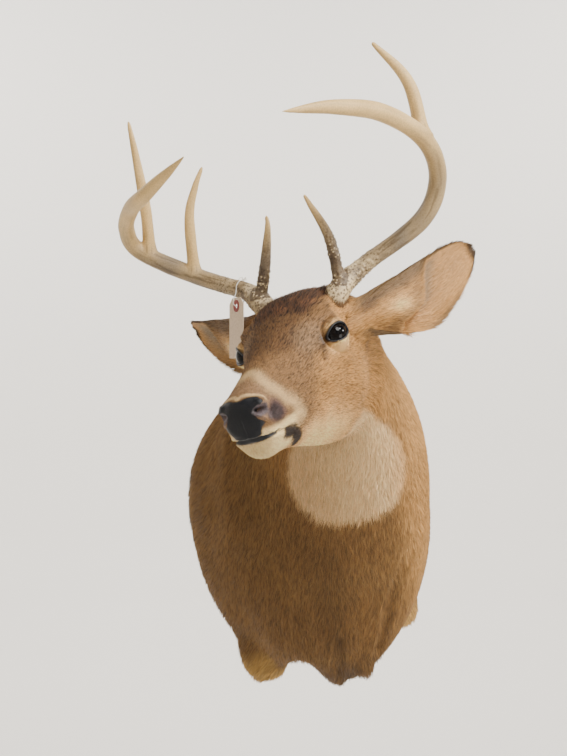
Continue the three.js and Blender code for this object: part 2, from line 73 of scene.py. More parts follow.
# Sections along the head, in the head frame: upper line y, z, lower line y, z, half width,
# level of the widest part, fullness of the upper half, fullness of the lower half.
HEAD_SECTIONS = np.array([
    (-192, -46, -192, -50, 3, 0.50, 2.0, 2.0),
    (-190, -37, -190, -60, 14, 0.50, 2.0, 2.0),
    (-185, -30, -187, -73, 22, 0.52, 2.2, 2.2),
    (-175, -24, -181, -80, 27, 0.52, 2.3, 2.3),
    (-160, -18, -173, -95, 29, 0.52, 2.3, 2.3),
    (-142, -11, -159, -103, 30, 0.54, 2.2, 2.2),
    (-122, -4, -134, -105, 31.5, 0.54, 2.2, 2.0),
    (-98, 6, -104, -108, 35, 0.56, 2.1, 1.9),
    (-73, 16, -74, -113, 41, 0.60, 2.1, 1.8),
    (-48, 27, -46, -119, 49, 0.66, 2.2, 1.75),
    (-22, 38, -18, -126, 58, 0.70, 2.4, 1.7),
    (4, 48, 10, -132, 64, 0.70, 2.6, 1.7),
    (32, 56, 38, -137, 66, 0.68, 2.8, 1.8),
    (60, 60, 64, -140, 66, 0.64, 2.8, 1.9),
    (88, 59, 88, -141, 67, 0.60, 2.4, 2.0),
], float)
# Sections of the neck, chest and shoulders, in the mount frame: a point of the upper line, a point
# of the lower line, then the same four shape numbers.
TRUNK_SECTIONS = np.array([
    (61, -364, 337, 59, -372, 130, 78, 0.54, 2.1, 2.0),
    (58, -330, 332, 50, -346, 85, 90, 0.52, 2.0, 2.0),
    (55, -292, 326, 42, -318, 20, 107, 0.50, 2.0, 1.9),
    (51, -252, 317, 33, -289, -56, 128, 0.50, 2.0, 1.9),
    (51, -210, 307, 24, -256, -133, 150, 0.50, 2.0, 1.8),
    (44, -165, 299, 13, -217, -201, 161, 0.50, 2.1, 1.8),
    (32, -115, 279, 4, -165, -241, 172, 0.50, 2.1, 1.8),
    (22, -60, 252, -8, -95, -233, 191, 0.52, 2.2, 2.1),
    (14, -1, 236, -10, -1, -199, 198, 0.52, 2.2, 2.1),
], float)
# Swellings and hollows of the skull: a middle, a reach along each axis and the push at the middle.
SKULL_FORMS = (
    ((55, 0, 24), (26, 30, 18), (5, -1, 4)),         # brow over the eye
    ((65, -5, 1), (26, 27, 21), (-12, 3, 0)),        # socket
    ((50, -38, -16), (14, 18, 16), (-4, 0, 0)),      # hollow of the tear gland
    ((60, 14, -28), (22, 46, 16), (4, 0, 0)),        # cheek bone
    ((50, 52, -66), (30, 48, 44), (7, 0, 0)),        # jaw muscle
    ((38, -40, -62), (22, 34, 26), (-4, 0, 0)),      # hollow ahead of it
    ((24, -176, -38), (14, 16, 14), (3, -1, 1)),     # nostril wing
    ((30, -140, -62), (14, 40, 14), (3, 0, 0)),      # upper lip
    ((54, 48, 36), (22, 26, 18), (-5, 0, 0)),        # temple
    ((48, 62, 62), (24, 26, 24), (4, 0, 6)),         # antler pedicle
)
# The hollow between the brisket's keel and the right foreleg, in the mount frame.
BRISKET_HOLLOW = ((-45, -140, -225), (44, 120, 62), (0, 0, 28))
# The loose edge of hide beside the brisket's keel.
BRISKET_FLAP = ((46, -196, -214), (24, 46, 28), (4, 0, -13))
# Lines of the trunk, in the mount frame: a crease of the hide down the left side, one up from the
# hem, and the middle of the breast. Along all three the coat is darkened as painted shade.
SIDE_CREASE = ((165, -243, -1), (137, -257, -38), (126, -259, -54), (109, -255, -82), (99, -244, -111),
               (87, -228, -148), (74, -207, -184))
BRISKET_CREASE = ((14, -246, -150), (11, -220, -198), (18, -189, -227), (22, -150, -240))
BREAST_LINE = ((22, -297, -30), (17, -273, -93), (14, -246, -153))
# The cut-off tops of the forelegs, as ovals in the mount frame: a middle and its radii.
FORELEG_STUBS = (((120, -78, -146), (32, 44, 50)), ((-108, -92, -178), (38, 52, 64)))
BOARD_INSET, BOARD_FRONT, BOARD_CLEARANCE = 13.0, 18.0, 0.4
TRUNK_START = 560.0         # the run from the nose at which the forelegs may stand out

# Lines of the face, in the head frame, the same on both sides.
LIP_LINE = ((0, -184.5, -77.5), (12.4, -181.1, -77.3), (22.7, -175.6, -76.5), (26.5, -162.6, -78),
            (26.6, -148.4, -79.6), (26.3, -130.1, -80.7), (26.2, -114.6, -82.7), (24.7, -107, -87))
NOSTRIL = ((19.9, -187.2, -46.1), (23.1, -184.8, -46.4), (25.8, -181.7, -46.4))
NOSTRIL_RIM = ((28.9, -174, -40), (27.7, -179.4, -41.2), (22.8, -184.8, -41.8), (18.3, -187.9, -44.5),
               (17.7, -188.6, -48.2), (22.1, -185.9, -52.6), (25.4, -181.2, -57.1))
PHILTRUM = ((0, -192, -54), (0, -190, -62), (0, -185, -76))
FRINGE = ((0, -185.8, -30.9), (3.9, -182.5, -28.2), (11.6, -180, -28.4), (20.1, -178, -30.8),
          (26.6, -174.8, -34.1), (28.9, -174, -38))
TEAR_SLIT = ((53.5, -31.7, -8), (52.7, -31.6, -13), (51.5, -33.1, -22))
MUZZLE_BAND = ((0, -137, -8), (7.8, -140.5, -11.4), (18.3, -147.4, -19.6), (24.7, -147.6, -28.1),
               (30.6, -132.6, -42.7), (33.1, -112.6, -56.2), (31.1, -95.2, -74.2))
MOUTH_CORNER = ((24, -136, -84), (25, -114, -90), (19, -102, -97), (13, -94, -104))
# The bare nose pad: its reach in mm by the direction in degrees from its middle, 90 being up.
PAD_LEVEL = -48.0
PAD_EDGE = ((-90, -84, -57, -50, -39, -29, -24, -20, -7, 4, 13, 16, 19, 24, 37, 55, 75, 90),
            (28.2, 28.4, 30.7, 28.2, 26.6, 27.9, 25.2, 20.9, 16.2, 17.5, 21.1, 26, 30.3, 30, 27.1, 21.3,
             16.8, 16.5))

# Each ear in the head frame, given as for the left side: where it stands, the way its length runs,
# its turn in degrees about that, and how tightly it is rolled at 0.2 and at 0.45 of its length.
EARS = {1: ((61, 88, 8), (0.855, 0.47, 0.225), 0.0, (1.7, 1.15)),
        -1: ((57.7, 92.1, 27.7), (0.857, 0.51, 0.069), -15.0, (1.51, 0.96))}
EAR_LENGTH = 178.0
EAR_SUNK = 0.24             # share of the length that the root goes on inside the head
EAR_THICKNESS = 5.0
EAR_HOLLOW, EAR_BACK = 0.22, 0.72   # the ear's two sheets, as shares of its thickness
EAR_OPENING = np.array([0.25, -0.94, -0.07])
# By the share of the length: half the width and the shift towards one edge, in mm. Then, by the
# place from edge to edge, the share of the length that the fold at the ear's front reaches.
EAR_HALF_WIDTH = ((0, 0.12, 0.35, 0.5, 0.68, 0.8, 0.92, 1), (58, 51, 49.5, 48, 39, 31.5, 21, 7))
EAR_SHIFT = ((0, 0.35, 0.5, 0.68, 0.85, 1), (0, 12.5, 13.5, 7.5, -0.5, -6))
EAR_FOLD = ((-1, -0.5, -0.1, 0.2, 0.4, 0.55, 1), (0.6, 0.53, 0.48, 0.44, 0.33, 0.26, 0.2))

# The gaze: degrees forward of straight out, and the slope upwards. The lids: how far their opening
# reaches from the eye's middle in mm, its droop as a slope, and the lids' thickness.
GAZE_FORWARD, GAZE_UP = 38.0, 0.22
LID = {"front": 16.3, "back": 16.0, "up": 10.6, "down": 10.2, "droop": 0.05, "thick": 2.2}

# Antlers in the head frame, given as for the left side: outwards, back and up. A tine's root is a
# place on its beam, from 0 at the burr to 1 at the tip, and its radius is in millimetres.
ANTLERS = {
    "left": (1, ((45, 58, 26), (59, 62, 50), (91, 90, 72), (173, 113, 107), (209, 106, 151),
                 (218, 57, 197), (196, -11, 235), (162, -80, 251), (124, -141, 256)),
             ((0.065, 8.0, ((66, 61, 117), (58, 45, 166), (58, 35, 177))),
              (0.57, 9.3, ((215, 62, 270), (186, 56, 328))))),
    "right": (-1, ((38, 56, 40), (52, 63, 63), (76, 82, 81), (140, 93, 115), (213, 83, 172),
                   (208, 53, 204), (169, 9, 223), (113, -48, 229), (28, -84, 253)),
              ((0.054, 8.4, ((36, 61, 91), (9, 52, 148), (2, 45, 167))),
               (0.284, 8.6, ((131, 91, 196), (111, 92, 233), (93, 95, 257))),
               (0.418, 8.8, ((190, 86, 220), (179, 81, 289), (172, 77, 344))))),
}
# By the share of the run: a beam's radius in mm, and a tine's as a share of its root's.
BEAM_RADIUS = ((0, 0.05, 0.09, 0.14, 0.2, 0.33, 0.47, 0.62, 0.73, 0.81, 0.88, 0.935, 1),
               (15.5, 15, 13.2, 11.5, 11, 11.8, 11.4, 10.8, 10.5, 9.6, 7.8, 5.3, 1.2))
TINE_TAPER = ((0, 0.12, 0.4, 0.6, 0.8, 0.92, 0.98, 1), (1.45, 1, 0.9, 0.76, 0.56, 0.4, 0.29, 0.14))

# The string goes round the right beam near its burr and through the tag's eye, in the plumb frame.
STRING_ROUTE = np.array([
    (-94.9, -372.3, 361.3), (-98.2, -377.2, 360.8), (-101.3, -381.1, 357.9), (-103.6, -383.4, 353),
    (-104, -384.6, 347.4), (-104.4, -393.8, 341), (-106.6, -398.4, 335.4), (-107.2, -399.6, 328.6),
    (-104.7, -399.4, 325.2), (-101.7, -397.7, 323.8), (-99.8, -393.6, 323.6), (-98.6, -387.6, 325.6),
    (-95.2, -375.3, 330.7), (-94.3, -369.3, 334.9), (-93.7, -364.1, 339.6), (-93, -361.3, 345.2),
    (-92.6, -361.2, 352.1), (-93.7, -364.1, 358), (-95.2, -367.5, 360.9)])
STRING_RADIUS = 0.7
KNOT_AT = np.array([-94.5, -369.7, 362.3])

FLESH_NODES = ("nose", "head", "lower_jaw", "neck", "chest", "shoulders", "ear_left", "ear_right",
               "foreleg_stub_left", "foreleg_stub_right")
AROUND = 192                # points round each section of the skin
MOST_TUFTS = 42000          # of four triangles each, in one piece of the coat
WALL_GAP = -0.6             # the coat ends this far before the wall
HANGER_LENGTH = 0.062       # metres
UNDERCOAT = 0.72            # the skin's brightness as a share of the coat's
NEAR_EAR, SEATING = 85.0, 14.0      # roots this near an ear's root move up to this far to the skin
FLOOR_SIDES = 96


# ---- numbers ------------------------------------------------------------------------------------
def linear(hex_colour):
    """The linear colour of an sRGB hex value."""
    parts = [int(hex_colour[i:i + 2], 16) / 255 for i in (1, 3, 5)]
    return tuple(v / 12.92 if v <= 0.04045 else ((v + 0.055) / 1.055) ** 2.4 for v in parts)


def turn(axis, degrees):
    c, s = np.cos(np.radians(degrees)), np.sin(np.radians(degrees))
    rows = {"X": ((1, 0, 0), (0, c, -s), (0, s, c)), "Y": ((c, 0, s), (0, 1, 0), (-s, 0, c)),
            "Z": ((c, -s, 0), (s, c, 0), (0, 0, 1))}
    return np.array(rows[axis], float)


HANG = turn("Y", HANG_TILT)
HEAD = turn("Z", HEAD_TURN) @ turn("X", HEAD_DIP) @ turn("Y", HEAD_LEAN)


def from_head(points):
    """Head frame to mount frame."""
    return points @ HEAD.T + HEAD_AT


def to_head(points):
    """Mount frame to head frame."""
    return (points - HEAD_AT) @ HEAD


def unit(vectors):
    return vectors / np.maximum(np.linalg.norm(vectors, axis=-1, keepdims=True), 1e-9)


def dot(a, b):
    return (a * b).sum(-1)


def ease(x, low=0.0, high=1.0):
    """0 below low, 1 above high, and smooth between. With high under low it falls."""
    x = np.clip((x - low) / (high - low), 0, 1)
    return x * x * (3 - 2 * x)


def bell(x, width):
    return np.exp(-(x / width) ** 2)


def hermite(knots, values, at):
    """The smooth curve through (knots, values): cubic pieces with averaged slopes."""
    knots = np.asarray(knots, float)
    values = np.asarray(values, float).reshape(len(knots), -1)
    before = np.maximum(np.arange(len(knots)) - 1, 0)
    after = np.minimum(np.arange(len(knots)) + 1, len(knots) - 1)
    slope = (values[after] - values[before]) / (knots[after] - knots[before])[:, None]
    i = np.clip(np.searchsorted(knots, at, side="right") - 1, 0, len(knots) - 2)
    step = (knots[i + 1] - knots[i])[:, None]
    u = (at - knots[i])[:, None] / step
    v = 1 - u
    return (values[i] * (1 + 2 * u) * v * v + slope[i] * step * u * v * v
            + values[i + 1] * (3 - 2 * u) * u * u - slope[i + 1] * step * v * u * u)


def run_along(line):
    """How far each point of a line is from its start."""
    return np.r_[0, np.cumsum(np.linalg.norm(np.diff(line, axis=0), axis=1))]


def curve_through(points, count):
    """A Catmull-Rom curve through the points, as count points evenly spaced along it."""
    p = np.asarray(points, float)
    p = np.vstack([2 * p[0] - p[1], p, 2 * p[-1] - p[-2]])
    u = np.linspace(0, 1, 40, endpoint=False)[:, None]
    pieces = [0.5 * (2 * b + (c - a) * u + (2 * a - 5 * b + 4 * c - d) * u ** 2
                     + (3 * b - a - 3 * c + d) * u ** 3)
              for a, b, c, d in zip(p, p[1:], p[2:], p[3:])]
    line = np.vstack([*pieces, p[-2]])
    run = run_along(line)
    at = np.linspace(0, run[-1], count)
    return np.stack([np.interp(at, run, line[:, k]) for k in range(3)], -1)


def carried_frames(line):
    """Heading, across and up along a line, with across carried along without twist."""
    heading = unit(np.gradient(line, axis=0))
    across = np.zeros_like(heading)
    side = np.cross(heading[0], (0.3, 1, 0.2))
    for i, ahead in enumerate(heading):
        side = unit(side - ahead * dot(side, ahead))
        across[i] = side
    return heading, across, np.cross(heading, across)


def hashed(cell, seed):
    """A fixed value from 0 to 1 for each whole-numbered cell."""
    x, y, z = (cell[..., k].astype(np.uint32) for k in range(3))
    n = x * np.uint32(73856093) ^ y * np.uint32(19349663) ^ z * np.uint32(83492791)
    n = (n ^ np.uint32(seed * 7919 + 17)) * np.uint32(2654435761)
    n = (n ^ (n >> np.uint32(15))) * np.uint32(2246822519)
    n = n ^ (n >> np.uint32(13))
    return (n & np.uint32(0xFFFF)) / 65535.0


def noise(points, size, seed=0):
    """Smooth noise from -1 to 1, with lumps about `size` across (one number or one per axis)."""
    grid = points / size
    cell = np.floor(grid).astype(np.int64)
    f = ease(grid - cell)
    total = np.zeros(points.shape[:-1])
    for corner in product((0, 1), repeat=3):
        share = np.prod(np.where(corner, f, 1 - f), axis=-1)
        total += share * hashed(cell + np.array(corner), seed)
    return total * 2 - 1


def pebbles(points, size, seed=0):
    """Distance to the nearest of scattered points about `size` apart, in units of size."""
    grid = points / size
    cell = np.floor(grid).astype(np.int64)
    best = np.full(points.shape[:-1], 9.0)
    for corner in product((-1, 0, 1), repeat=3):
        near = cell + np.array(corner)
        spot = near + np.stack([hashed(near, seed + k) for k in range(3)], -1)
        best = np.minimum(best, np.linalg.norm(spot - grid, axis=-1))
    return best


def line_distance(points, line, both_sides=True):
    """How far each point is from a line, which both sides of the head have."""
    p = points * (1, 1, 1)
    if both_sides:
        p[..., 0] = np.abs(p[..., 0])
    best = np.full(points.shape[:-1], 1e9)
    for a, b in zip(np.array(line[:-1], float), np.array(line[1:], float)):
        u = np.clip(dot(p - a, b - a) / dot(b - a, b - a), 0, 1)[..., None]
        best = np.minimum(best, np.linalg.norm(p - a - u * (b - a), axis=-1))
    return best


def around_point(points, at, reach):
    """1 at a place of the head that both sides have, falling to 0 at its reach."""
    p = points * (1, 1, 1)
    p[..., 0] = np.abs(p[..., 0])
    return ease(np.linalg.norm((p - at) / reach, axis=-1), 1.0, 0.35)


# ---- meshes -------------------------------------------------------------------------------------
def new_mesh(name, points, faces):
    """An object of that mesh. points are millimetres, and every face has the same corner count."""
    mesh = bpy.data.meshes.new(name)
    mesh.vertices.add(len(points))
    mesh.vertices.foreach_set("co", (np.asarray(points) * MM).astype(np.float32).ravel())
    mesh.loops.add(faces.size)
    mesh.loops.foreach_set("vertex_index", faces.astype(np.int32).ravel())
    mesh.polygons.add(len(faces))
    mesh.polygons.foreach_set("loop_start", np.arange(0, faces.size, faces.shape[1], dtype=np.int32))
    mesh.polygons.foreach_set("use_smooth", np.ones(len(faces), bool))
    mesh.update(calc_edges=True)
    obj = bpy.data.objects.new(name, mesh)
    bpy.context.scene.collection.objects.link(obj)
    return obj


def ring_quads(count, around, rows):
    """Quads over `rows` rows of a stack of rings, of which the last row meets the first ring."""
    i, j = np.meshgrid(np.arange(rows), np.arange(around), indexing="ij")
    above, right = (i + 1) % count, (j + 1) % around
    quads = [i * around + j, above * around + j, above * around + right, i * around + right]
    return np.stack(quads, -1).reshape(-1, 4)


def facing_out(points, faces):
    """A closed mesh with its faces turned outwards."""
    corner = points[faces]
    volume = dot(corner[:, 0], np.cross(corner[:, 1], corner[:, 2])).sum()
    return points, faces if volume > 0 else faces[:, ::-1]


def closed_tube(rings):
    """Quads over rings of points, with each end closed by strips from a point to its opposite."""
    count, around = rings.shape[:2]
    s = np.arange(around // 2 - 1)
    first = np.stack([s, s + 1, around - 2 - s, around - 1 - s], -1)
    last = first[:, ::-1] + (count - 1) * around
    faces = np.vstack([ring_quads(count, around, count - 1), first, last])
    return facing_out(rings.reshape(-1, 3), faces)


def closed_band(rings):
    """Quads over rings that close on themselves both ways."""
    count, around = rings.shape[:2]
    return facing_out(rings.reshape(-1, 3), ring_quads(count, around, count))


def grid_normals(grid, wraps=True):
    """Unit normals of a grid of points, facing out where its columns turn from left over the top."""
    along = np.gradient(grid, axis=0)
    across = (np.roll(grid, -1, 1) - np.roll(grid, 1, 1)) if wraps else np.gradient(grid, axis=1)
    return unit(np.cross(along, across))


def select_only(obj):
    bpy.ops.object.select_all(action="DESELECT")
    obj.select_set(True)
    bpy.context.view_layer.objects.active = obj


def apply_modifier(obj, kind, **settings):
    select_only(obj)
    modifier = obj.modifiers.new(kind.title(), kind)
    for key, value in settings.items():
        setattr(modifier, key, value)
    bpy.ops.object.modifier_apply(modifier=modifier.name)


def read(items, attribute, width, kind=np.float32):
    """An attribute of a mesh's points, edges, loops or faces, a row for each."""
    values = np.zeros(len(items) * width, kind)
    items.foreach_get(attribute, values)
    return values.reshape(-1, width)


def points_of(obj):
    return read(obj.data.vertices, "co", 3).astype(float) / MM


def normals_of(obj):
    return read(obj.data.vertices, "normal", 3).astype(float)


def edges_of(obj):
    return read(obj.data.edges, "vertices", 2, np.int32)


def move_points(obj, points):
    obj.data.vertices.foreach_set("co", (points * MM).astype(np.float32).ravel())
    obj.data.update()


def relax(values, edges, share, rounds):
    """Evens out values over a mesh, each point by its share from 0 to 1."""
    values = values.copy()
    edges = edges[(share[edges] > 0).any(1)]
    start, end = np.concatenate([edges, edges[:, ::-1]]).T
    count, moving = len(values), share > 0
    degree = np.bincount(start, minlength=count)[moving]
    for _ in range(rounds):
        for k in range(values.shape[1]):
            mean = np.bincount(start, values[end, k], count)[moving] / np.maximum(degree, 1)
            values[moving, k] += share[moving] * (mean - values[moving, k])
    return values


def fill_hollows(obj, share, rounds):
    """Raises the hollows of a mesh to a soft curve, by each point's share, and leaves its ridges."""
    edges = edges_of(obj)
    for _ in range(rounds):
        points, normals = points_of(obj), normals_of(obj)
        rise = dot(relax(points, edges, share, 8) - points, normals)
        move_points(obj, points + normals * np.clip(rise, 0, None)[:, None])


def paint(obj, name, colours):
    """Puts a linear colour on each point."""
    attribute = obj.data.color_attributes.new(name, "FLOAT_COLOR", "POINT")
    filled = np.ones((len(colours), 4), np.float32)
    filled[:, :3] = colours
    attribute.data.foreach_set("color", filled.ravel())


def nearest(sources, points):
    """The index of the source point nearest to each point."""
    tree = KDTree(len(sources))
    for i, source in enumerate(sources):
        tree.insert(source, i)
    tree.balance()
    return np.array([tree.find(p)[1] for p in points])


# ---- materials ----------------------------------------------------------------------------------
COLOUR_A, COLOUR_B, MIXED = 6, 7, 2     # a Mix node's sockets for colours, which share their names


def node(material, kind, links=(), stops=(), **settings):
    """Adds a shader node. A setting is a property of it, or a value for a socket named in
    capitals with _ for a space. Each link is (my socket, another node, its socket). The stops
    are a colour ramp's positions and linear colours."""
    made = material.node_tree.nodes.new(kind)
    for key, value in settings.items():
        socket = made.inputs.get(key.replace("_", " ")) if key[0].isupper() else None
        if socket is None:
            setattr(made, key, value)
        else:
            socket.default_value = value
    for mine, other, theirs in links:
        material.node_tree.links.new(made.inputs[mine], other.outputs[theirs])
    for _ in stops[2:]:
        made.color_ramp.elements.new(0.5)
    for k, (position, colour) in enumerate(stops):
        made.color_ramp.elements[k].position = position
        made.color_ramp.elements[k].color = (*colour, 1)
    return made


def new_material(name):
    material = bpy.data.materials.new(name)
    material.use_nodes = True
    return material


def surface(material, colour=None, bump=None, **values):
    """Gives the shader its colour, as a node and its output, its bump and its plain values."""
    shader = material.node_tree.nodes["Principled BSDF"]
    if colour:
        material.node_tree.links.new(shader.inputs["Base Color"], colour[0].outputs[colour[1]])
    if bump:
        material.node_tree.links.new(shader.inputs["Normal"], bump.outputs["Normal"])
    for key, value in values.items():
        shader.inputs[key.replace("_", " ")].default_value = value
    return material


def put_material(obj, *materials):
    """The object's only materials, in slot order."""
    obj.data.materials.clear()
    for material in materials:
        obj.data.materials.append(material)


def finish_piece(obj, slot, *replaced):
    """Puts a piece on the row's one body and hides the CAD nodes that it stands for. The slot is not used."""
    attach(obj, "root")
    if replaced:
        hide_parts(*replaced)


# ---- the shape under the coat -------------------------------------------------------------------
def section_lines():
    """The sections from nose to wall in the mount frame: the run to each, its upper and lower
    point, the way to its left side, and its four shape numbers."""
    count = len(HEAD_SECTIONS)
    flat = np.zeros(count)
    top = np.vstack([from_head(np.c_[flat, HEAD_SECTIONS[:, 0:2]]), TRUNK_SECTIONS[:, 0:3]])
    low = np.vstack([from_head(np.c_[flat, HEAD_SECTIONS[:, 2:4]]), TRUNK_SECTIONS[:, 3:6]])
    share = np.minimum((np.arange(len(TRUNK_SECTIONS)) + 1) / 5, 1)[:, None]
    trunk_side = unit(HEAD[:, 0] * (1 - share) + np.array([1, 0, 0]) * share)
    side = np.vstack([np.tile(HEAD[:, 0], (count, 1)), trunk_side])
    shape = np.vstack([HEAD_SECTIONS[:, 4:], TRUNK_SECTIONS[:, 6:]])
    return run_along((top + low) / 2), top, low, side, shape


KNOTS, TOP, LOW, SIDE, SHAPE = section_lines()


def plain_outline(t, angle):
    """The sections themselves: t runs from the nose to the wall, angle round from the left side."""
    top, low, side = (hermite(KNOTS, line, t)[:, None] for line in (TOP, LOW, SIDE))
    wide, level, crown, keel = hermite(KNOTS, SHAPE, t).T[..., None]
    c, s = np.cos(angle), np.sin(angle)
    power = 2 / np.where(s >= 0, crown, keel)
    out = np.sign(c) * np.abs(c) ** power * wide
    rise = np.abs(s) ** power * np.where(s >= 0, 1 - level, -level)
    return low + (top - low) * (level + rise)[..., None] + unit(side) * out[..., None]


def swelling(points, at, reach, push):
    """How far a form moves each point: by push at its middle, falling to nothing at its reach."""
    local = (points - at) / reach
    return np.clip(1 - dot(local, local), 0, None)[..., None] ** 2 * push


def swell(points, forms):
    """Pushes points by forms that both sides have."""
    mirrors = (np.array([1, 1, 1]), np.array([-1, 1, 1]))
    return points + sum(swelling(points, at * mirror, reach, push * mirror)
                        for at, reach, push in forms for mirror in mirrors)


def ring_places():
    """Where the rings of the skin are: close together on the nose, wider apart on the trunk."""
    places = [0.0]
    while places[-1] < KNOTS[-1]:
        step = np.interp(places[-1], [0, 20, 140, 290, 420], [0.7, 1.4, 1.6, 2.2, 4.2])
        places.append(places[-1] + step)
    return np.array(places) * KNOTS[-1] / places[-1]


def eye_frame(side):
    """The eye's middle, gaze, backward and upward directions in the head frame."""
    mirror = np.array([side, 1, 1])
    forward = np.radians(GAZE_FORWARD)
    gaze = unit(np.array([np.cos(forward), -np.sin(forward), GAZE_UP]))
    back = unit(np.array([0, 1, 0]) - gaze * gaze[1])
    up = np.cross(gaze, back)
    up = up if up[2] > 0 else -up
    return EYE_AT * mirror, gaze * mirror, back * mirror, up * mirror


def from_eye(head, side):
    """How far points of the head frame lie from an eye's middle: backwards, up and along the gaze."""
    middle, gaze, back, up = eye_frame(side)
    return [dot(head - middle, way) for way in (back, up, gaze)]


def lid_place(back, up):
    """How far out from the middle of the eye's opening a place is: 1 at the lids' edge."""
    up = up - LID["droop"] * back
    wide = np.where(back < 0, LID["front"], LID["back"])
    high = np.where(up > 0, LID["up"], LID["down"])
    return (np.abs(back / wide) ** 1.8 + np.abs(up / high) ** 2.0) ** 0.53


def with_lids(points):
    """Brings the face to the eyeball: a mound that the lids make, and a dip behind the ball."""
    points = points.copy()
    for side in (1, -1):
        gaze = eye_frame(side)[1]
        p, q, w = from_eye(points, side)
        out = np.hypot(p, q)
        place = lid_place(p, q)
        mound = np.sqrt(np.clip((EYE_RADIUS + LID["thick"]) ** 2 - out ** 2, 0, None))
        lids = mound + (w - mound) * ease(out, 12, 27)
        ball = np.sqrt(np.clip(EYE_RADIUS ** 2 - out ** 2, 0, None))
        height = np.where(place < 1, np.minimum(lids, ball - 9 * ease(place, 1.02, 0.8)), lids)
        near = (out < 27) & (w > -12)
        points += np.where(near, height - w, 0)[..., None] * gaze
    return points


def face_relief(head):
    """How far the bare lines of the face stand out or in, along the skin's normal."""
    lip, hole, rim, philtrum, slit = (line_distance(head, line) for line in
                                      (LIP_LINE, NOSTRIL, NOSTRIL_RIM, PHILTRUM, TEAR_SLIT))
    front = ease(head[..., 1], -150, -172)
    relief = -(1.2 + 1.0 * front) * bell(lip, 1.3 + 0.6 * front) + 0.9 * bell(lip - 4, 2.4)
    relief += (-7.5 * bell(hole, 2.7) + 1.5 * bell(rim, 1.7)
               + 1.6 * around_point(head, (25, -181, -37), (9, 9, 6)))
    relief += -0.7 * bell(philtrum, 1.2)
    relief += -2.2 * bell(slit, 1.7)
    relief += 1.6 * around_point(head, (60, -6, 22), (16, 26, 9))
    relief += -1.4 * around_point(head, (29, -166, -54), (10, 12, 9))
    return relief


def trunk_relief(points):
    """The creases of the hide on the trunk, with the soft folds beside them."""
    side = line_distance(points, SIDE_CREASE, False)
    brisket = line_distance(points, BRISKET_CREASE, False)
    folds = -4.5 * bell(side, 8) + 1.5 * bell(side - 17, 9) - 2.5 * bell(brisket, 6) + bell(brisket - 13, 7)
    back = points[..., 1]
    return folds + 0.9 * noise(points, 70, 51) * ease(np.abs(back), 60, 120) * ease(back, -400, -330)


def stub_relief(points, normals):
    """How far the cut-off forelegs stand out of the trunk."""
    relief = np.zeros(points.shape[:-1])
    for at, radii in FORELEG_STUBS:
        p, n = (points - at) / np.array(radii), normals / np.array(radii)
        a, b, c = dot(n, n), dot(n, p), dot(p, p) - 1
        inside = b * b - a * c
        reach = (-b + np.sqrt(np.clip(inside, 0, None))) / a
        near = (inside > 0) & (np.linalg.norm(points - at, axis=-1) < 1.7 * max(radii))
        relief = np.maximum(relief, np.where(near, np.clip(reach, 0, 70), 0))
    for _ in range(4):
        relief[1:-1] = (relief[:-2] + relief[2:] + np.roll(relief, 1, 1)[1:-1]
                        + np.roll(relief, -1, 1)[1:-1]) / 4
    return relief


def coat_depth(t):
    """How far the skin lies inside the tips of the coat."""
    return np.interp(t, [0, 10, 25, 120, 230, 290, 360, 460, KNOTS[-1]],
                     [0, 0, 1.2, 1.8, 2.5, 4, 5.5, 6, 6])


@lru_cache(maxsize=None)
def body_grid():
    """Rings of the outer coat and of the skin from nose to wall, in the mount frame."""
    t = ring_places()
    angle = 2 * np.pi * np.arange(AROUND) / AROUND
    outer = from_head(with_lids(swell(to_head(plain_outline(t, angle)), SKULL_FORMS)))
    for form in (BRISKET_HOLLOW, BRISKET_FLAP):
        outer += swelling(outer, *map(np.array, form))
    normals = grid_normals(outer)
    normals[:2] = normals[2]
    outer = outer + normals * face_relief(to_head(outer))[..., None]
    trunk = t > TRUNK_START
    outer[trunk] += normals[trunk] * stub_relief(outer[trunk], normals[trunk])[..., None]
    outer += normals * trunk_relief(outer)[..., None]
    normals = grid_normals(outer)
    normals[:2] = unit(normals[:2] + HEAD @ np.array([0, -3, 0]))
    depth = coat_depth(t)[:, None] * np.ones(AROUND)
    for side in (1, -1):
        out = np.linalg.norm(to_head(outer) - eye_frame(side)[0], axis=-1)
        depth *= ease(out, 18, 34) * 0.8 + 0.2
    skin = outer - normals * depth[..., None]
    run, turns = np.meshgrid(t, angle, indexing="ij")
    return {"t": t, "angle": angle, "run": run, "turns": turns, "outer": outer, "skin": skin,
            "normals": normals, "depth": depth}


def body_rings():
    """The skin's rings, with the hem turned in round the board at the back."""
    grid = body_grid()
    hem = plain_outline(np.array([KNOTS[-1]]), grid["angle"])[0]
    inward = unit(grid_normals(grid["outer"])[-1] * (1, 0, 1))
    turned = hem - inward * (BOARD_INSET - BOARD_CLEARANCE)
    edge = grid["skin"][-1].copy()
    edge[:, 1] = WALL_GAP
    at_wall, inside = turned.copy(), turned.copy()
    at_wall[:, 1] = WALL_GAP
    inside[:, 1] = -BOARD_FRONT - BOARD_CLEARANCE
    return np.vstack([grid["skin"], edge[None], at_wall[None], inside[None]])


def ear_fold(u, v):
    """1 where the ear's front edge folds over its root, and 0 where its hollow lies open."""
    reach = np.interp(v, *EAR_FOLD)
    return ease(u, reach + 0.025, reach - 0.03)


def ear_distance(head):
    """How far points of the head frame are from the root of the nearer ear."""
    return np.minimum(*[np.linalg.norm(head - np.array(EARS[side][0]) * (side, 1, 1), axis=-1)
                        for side in EARS])


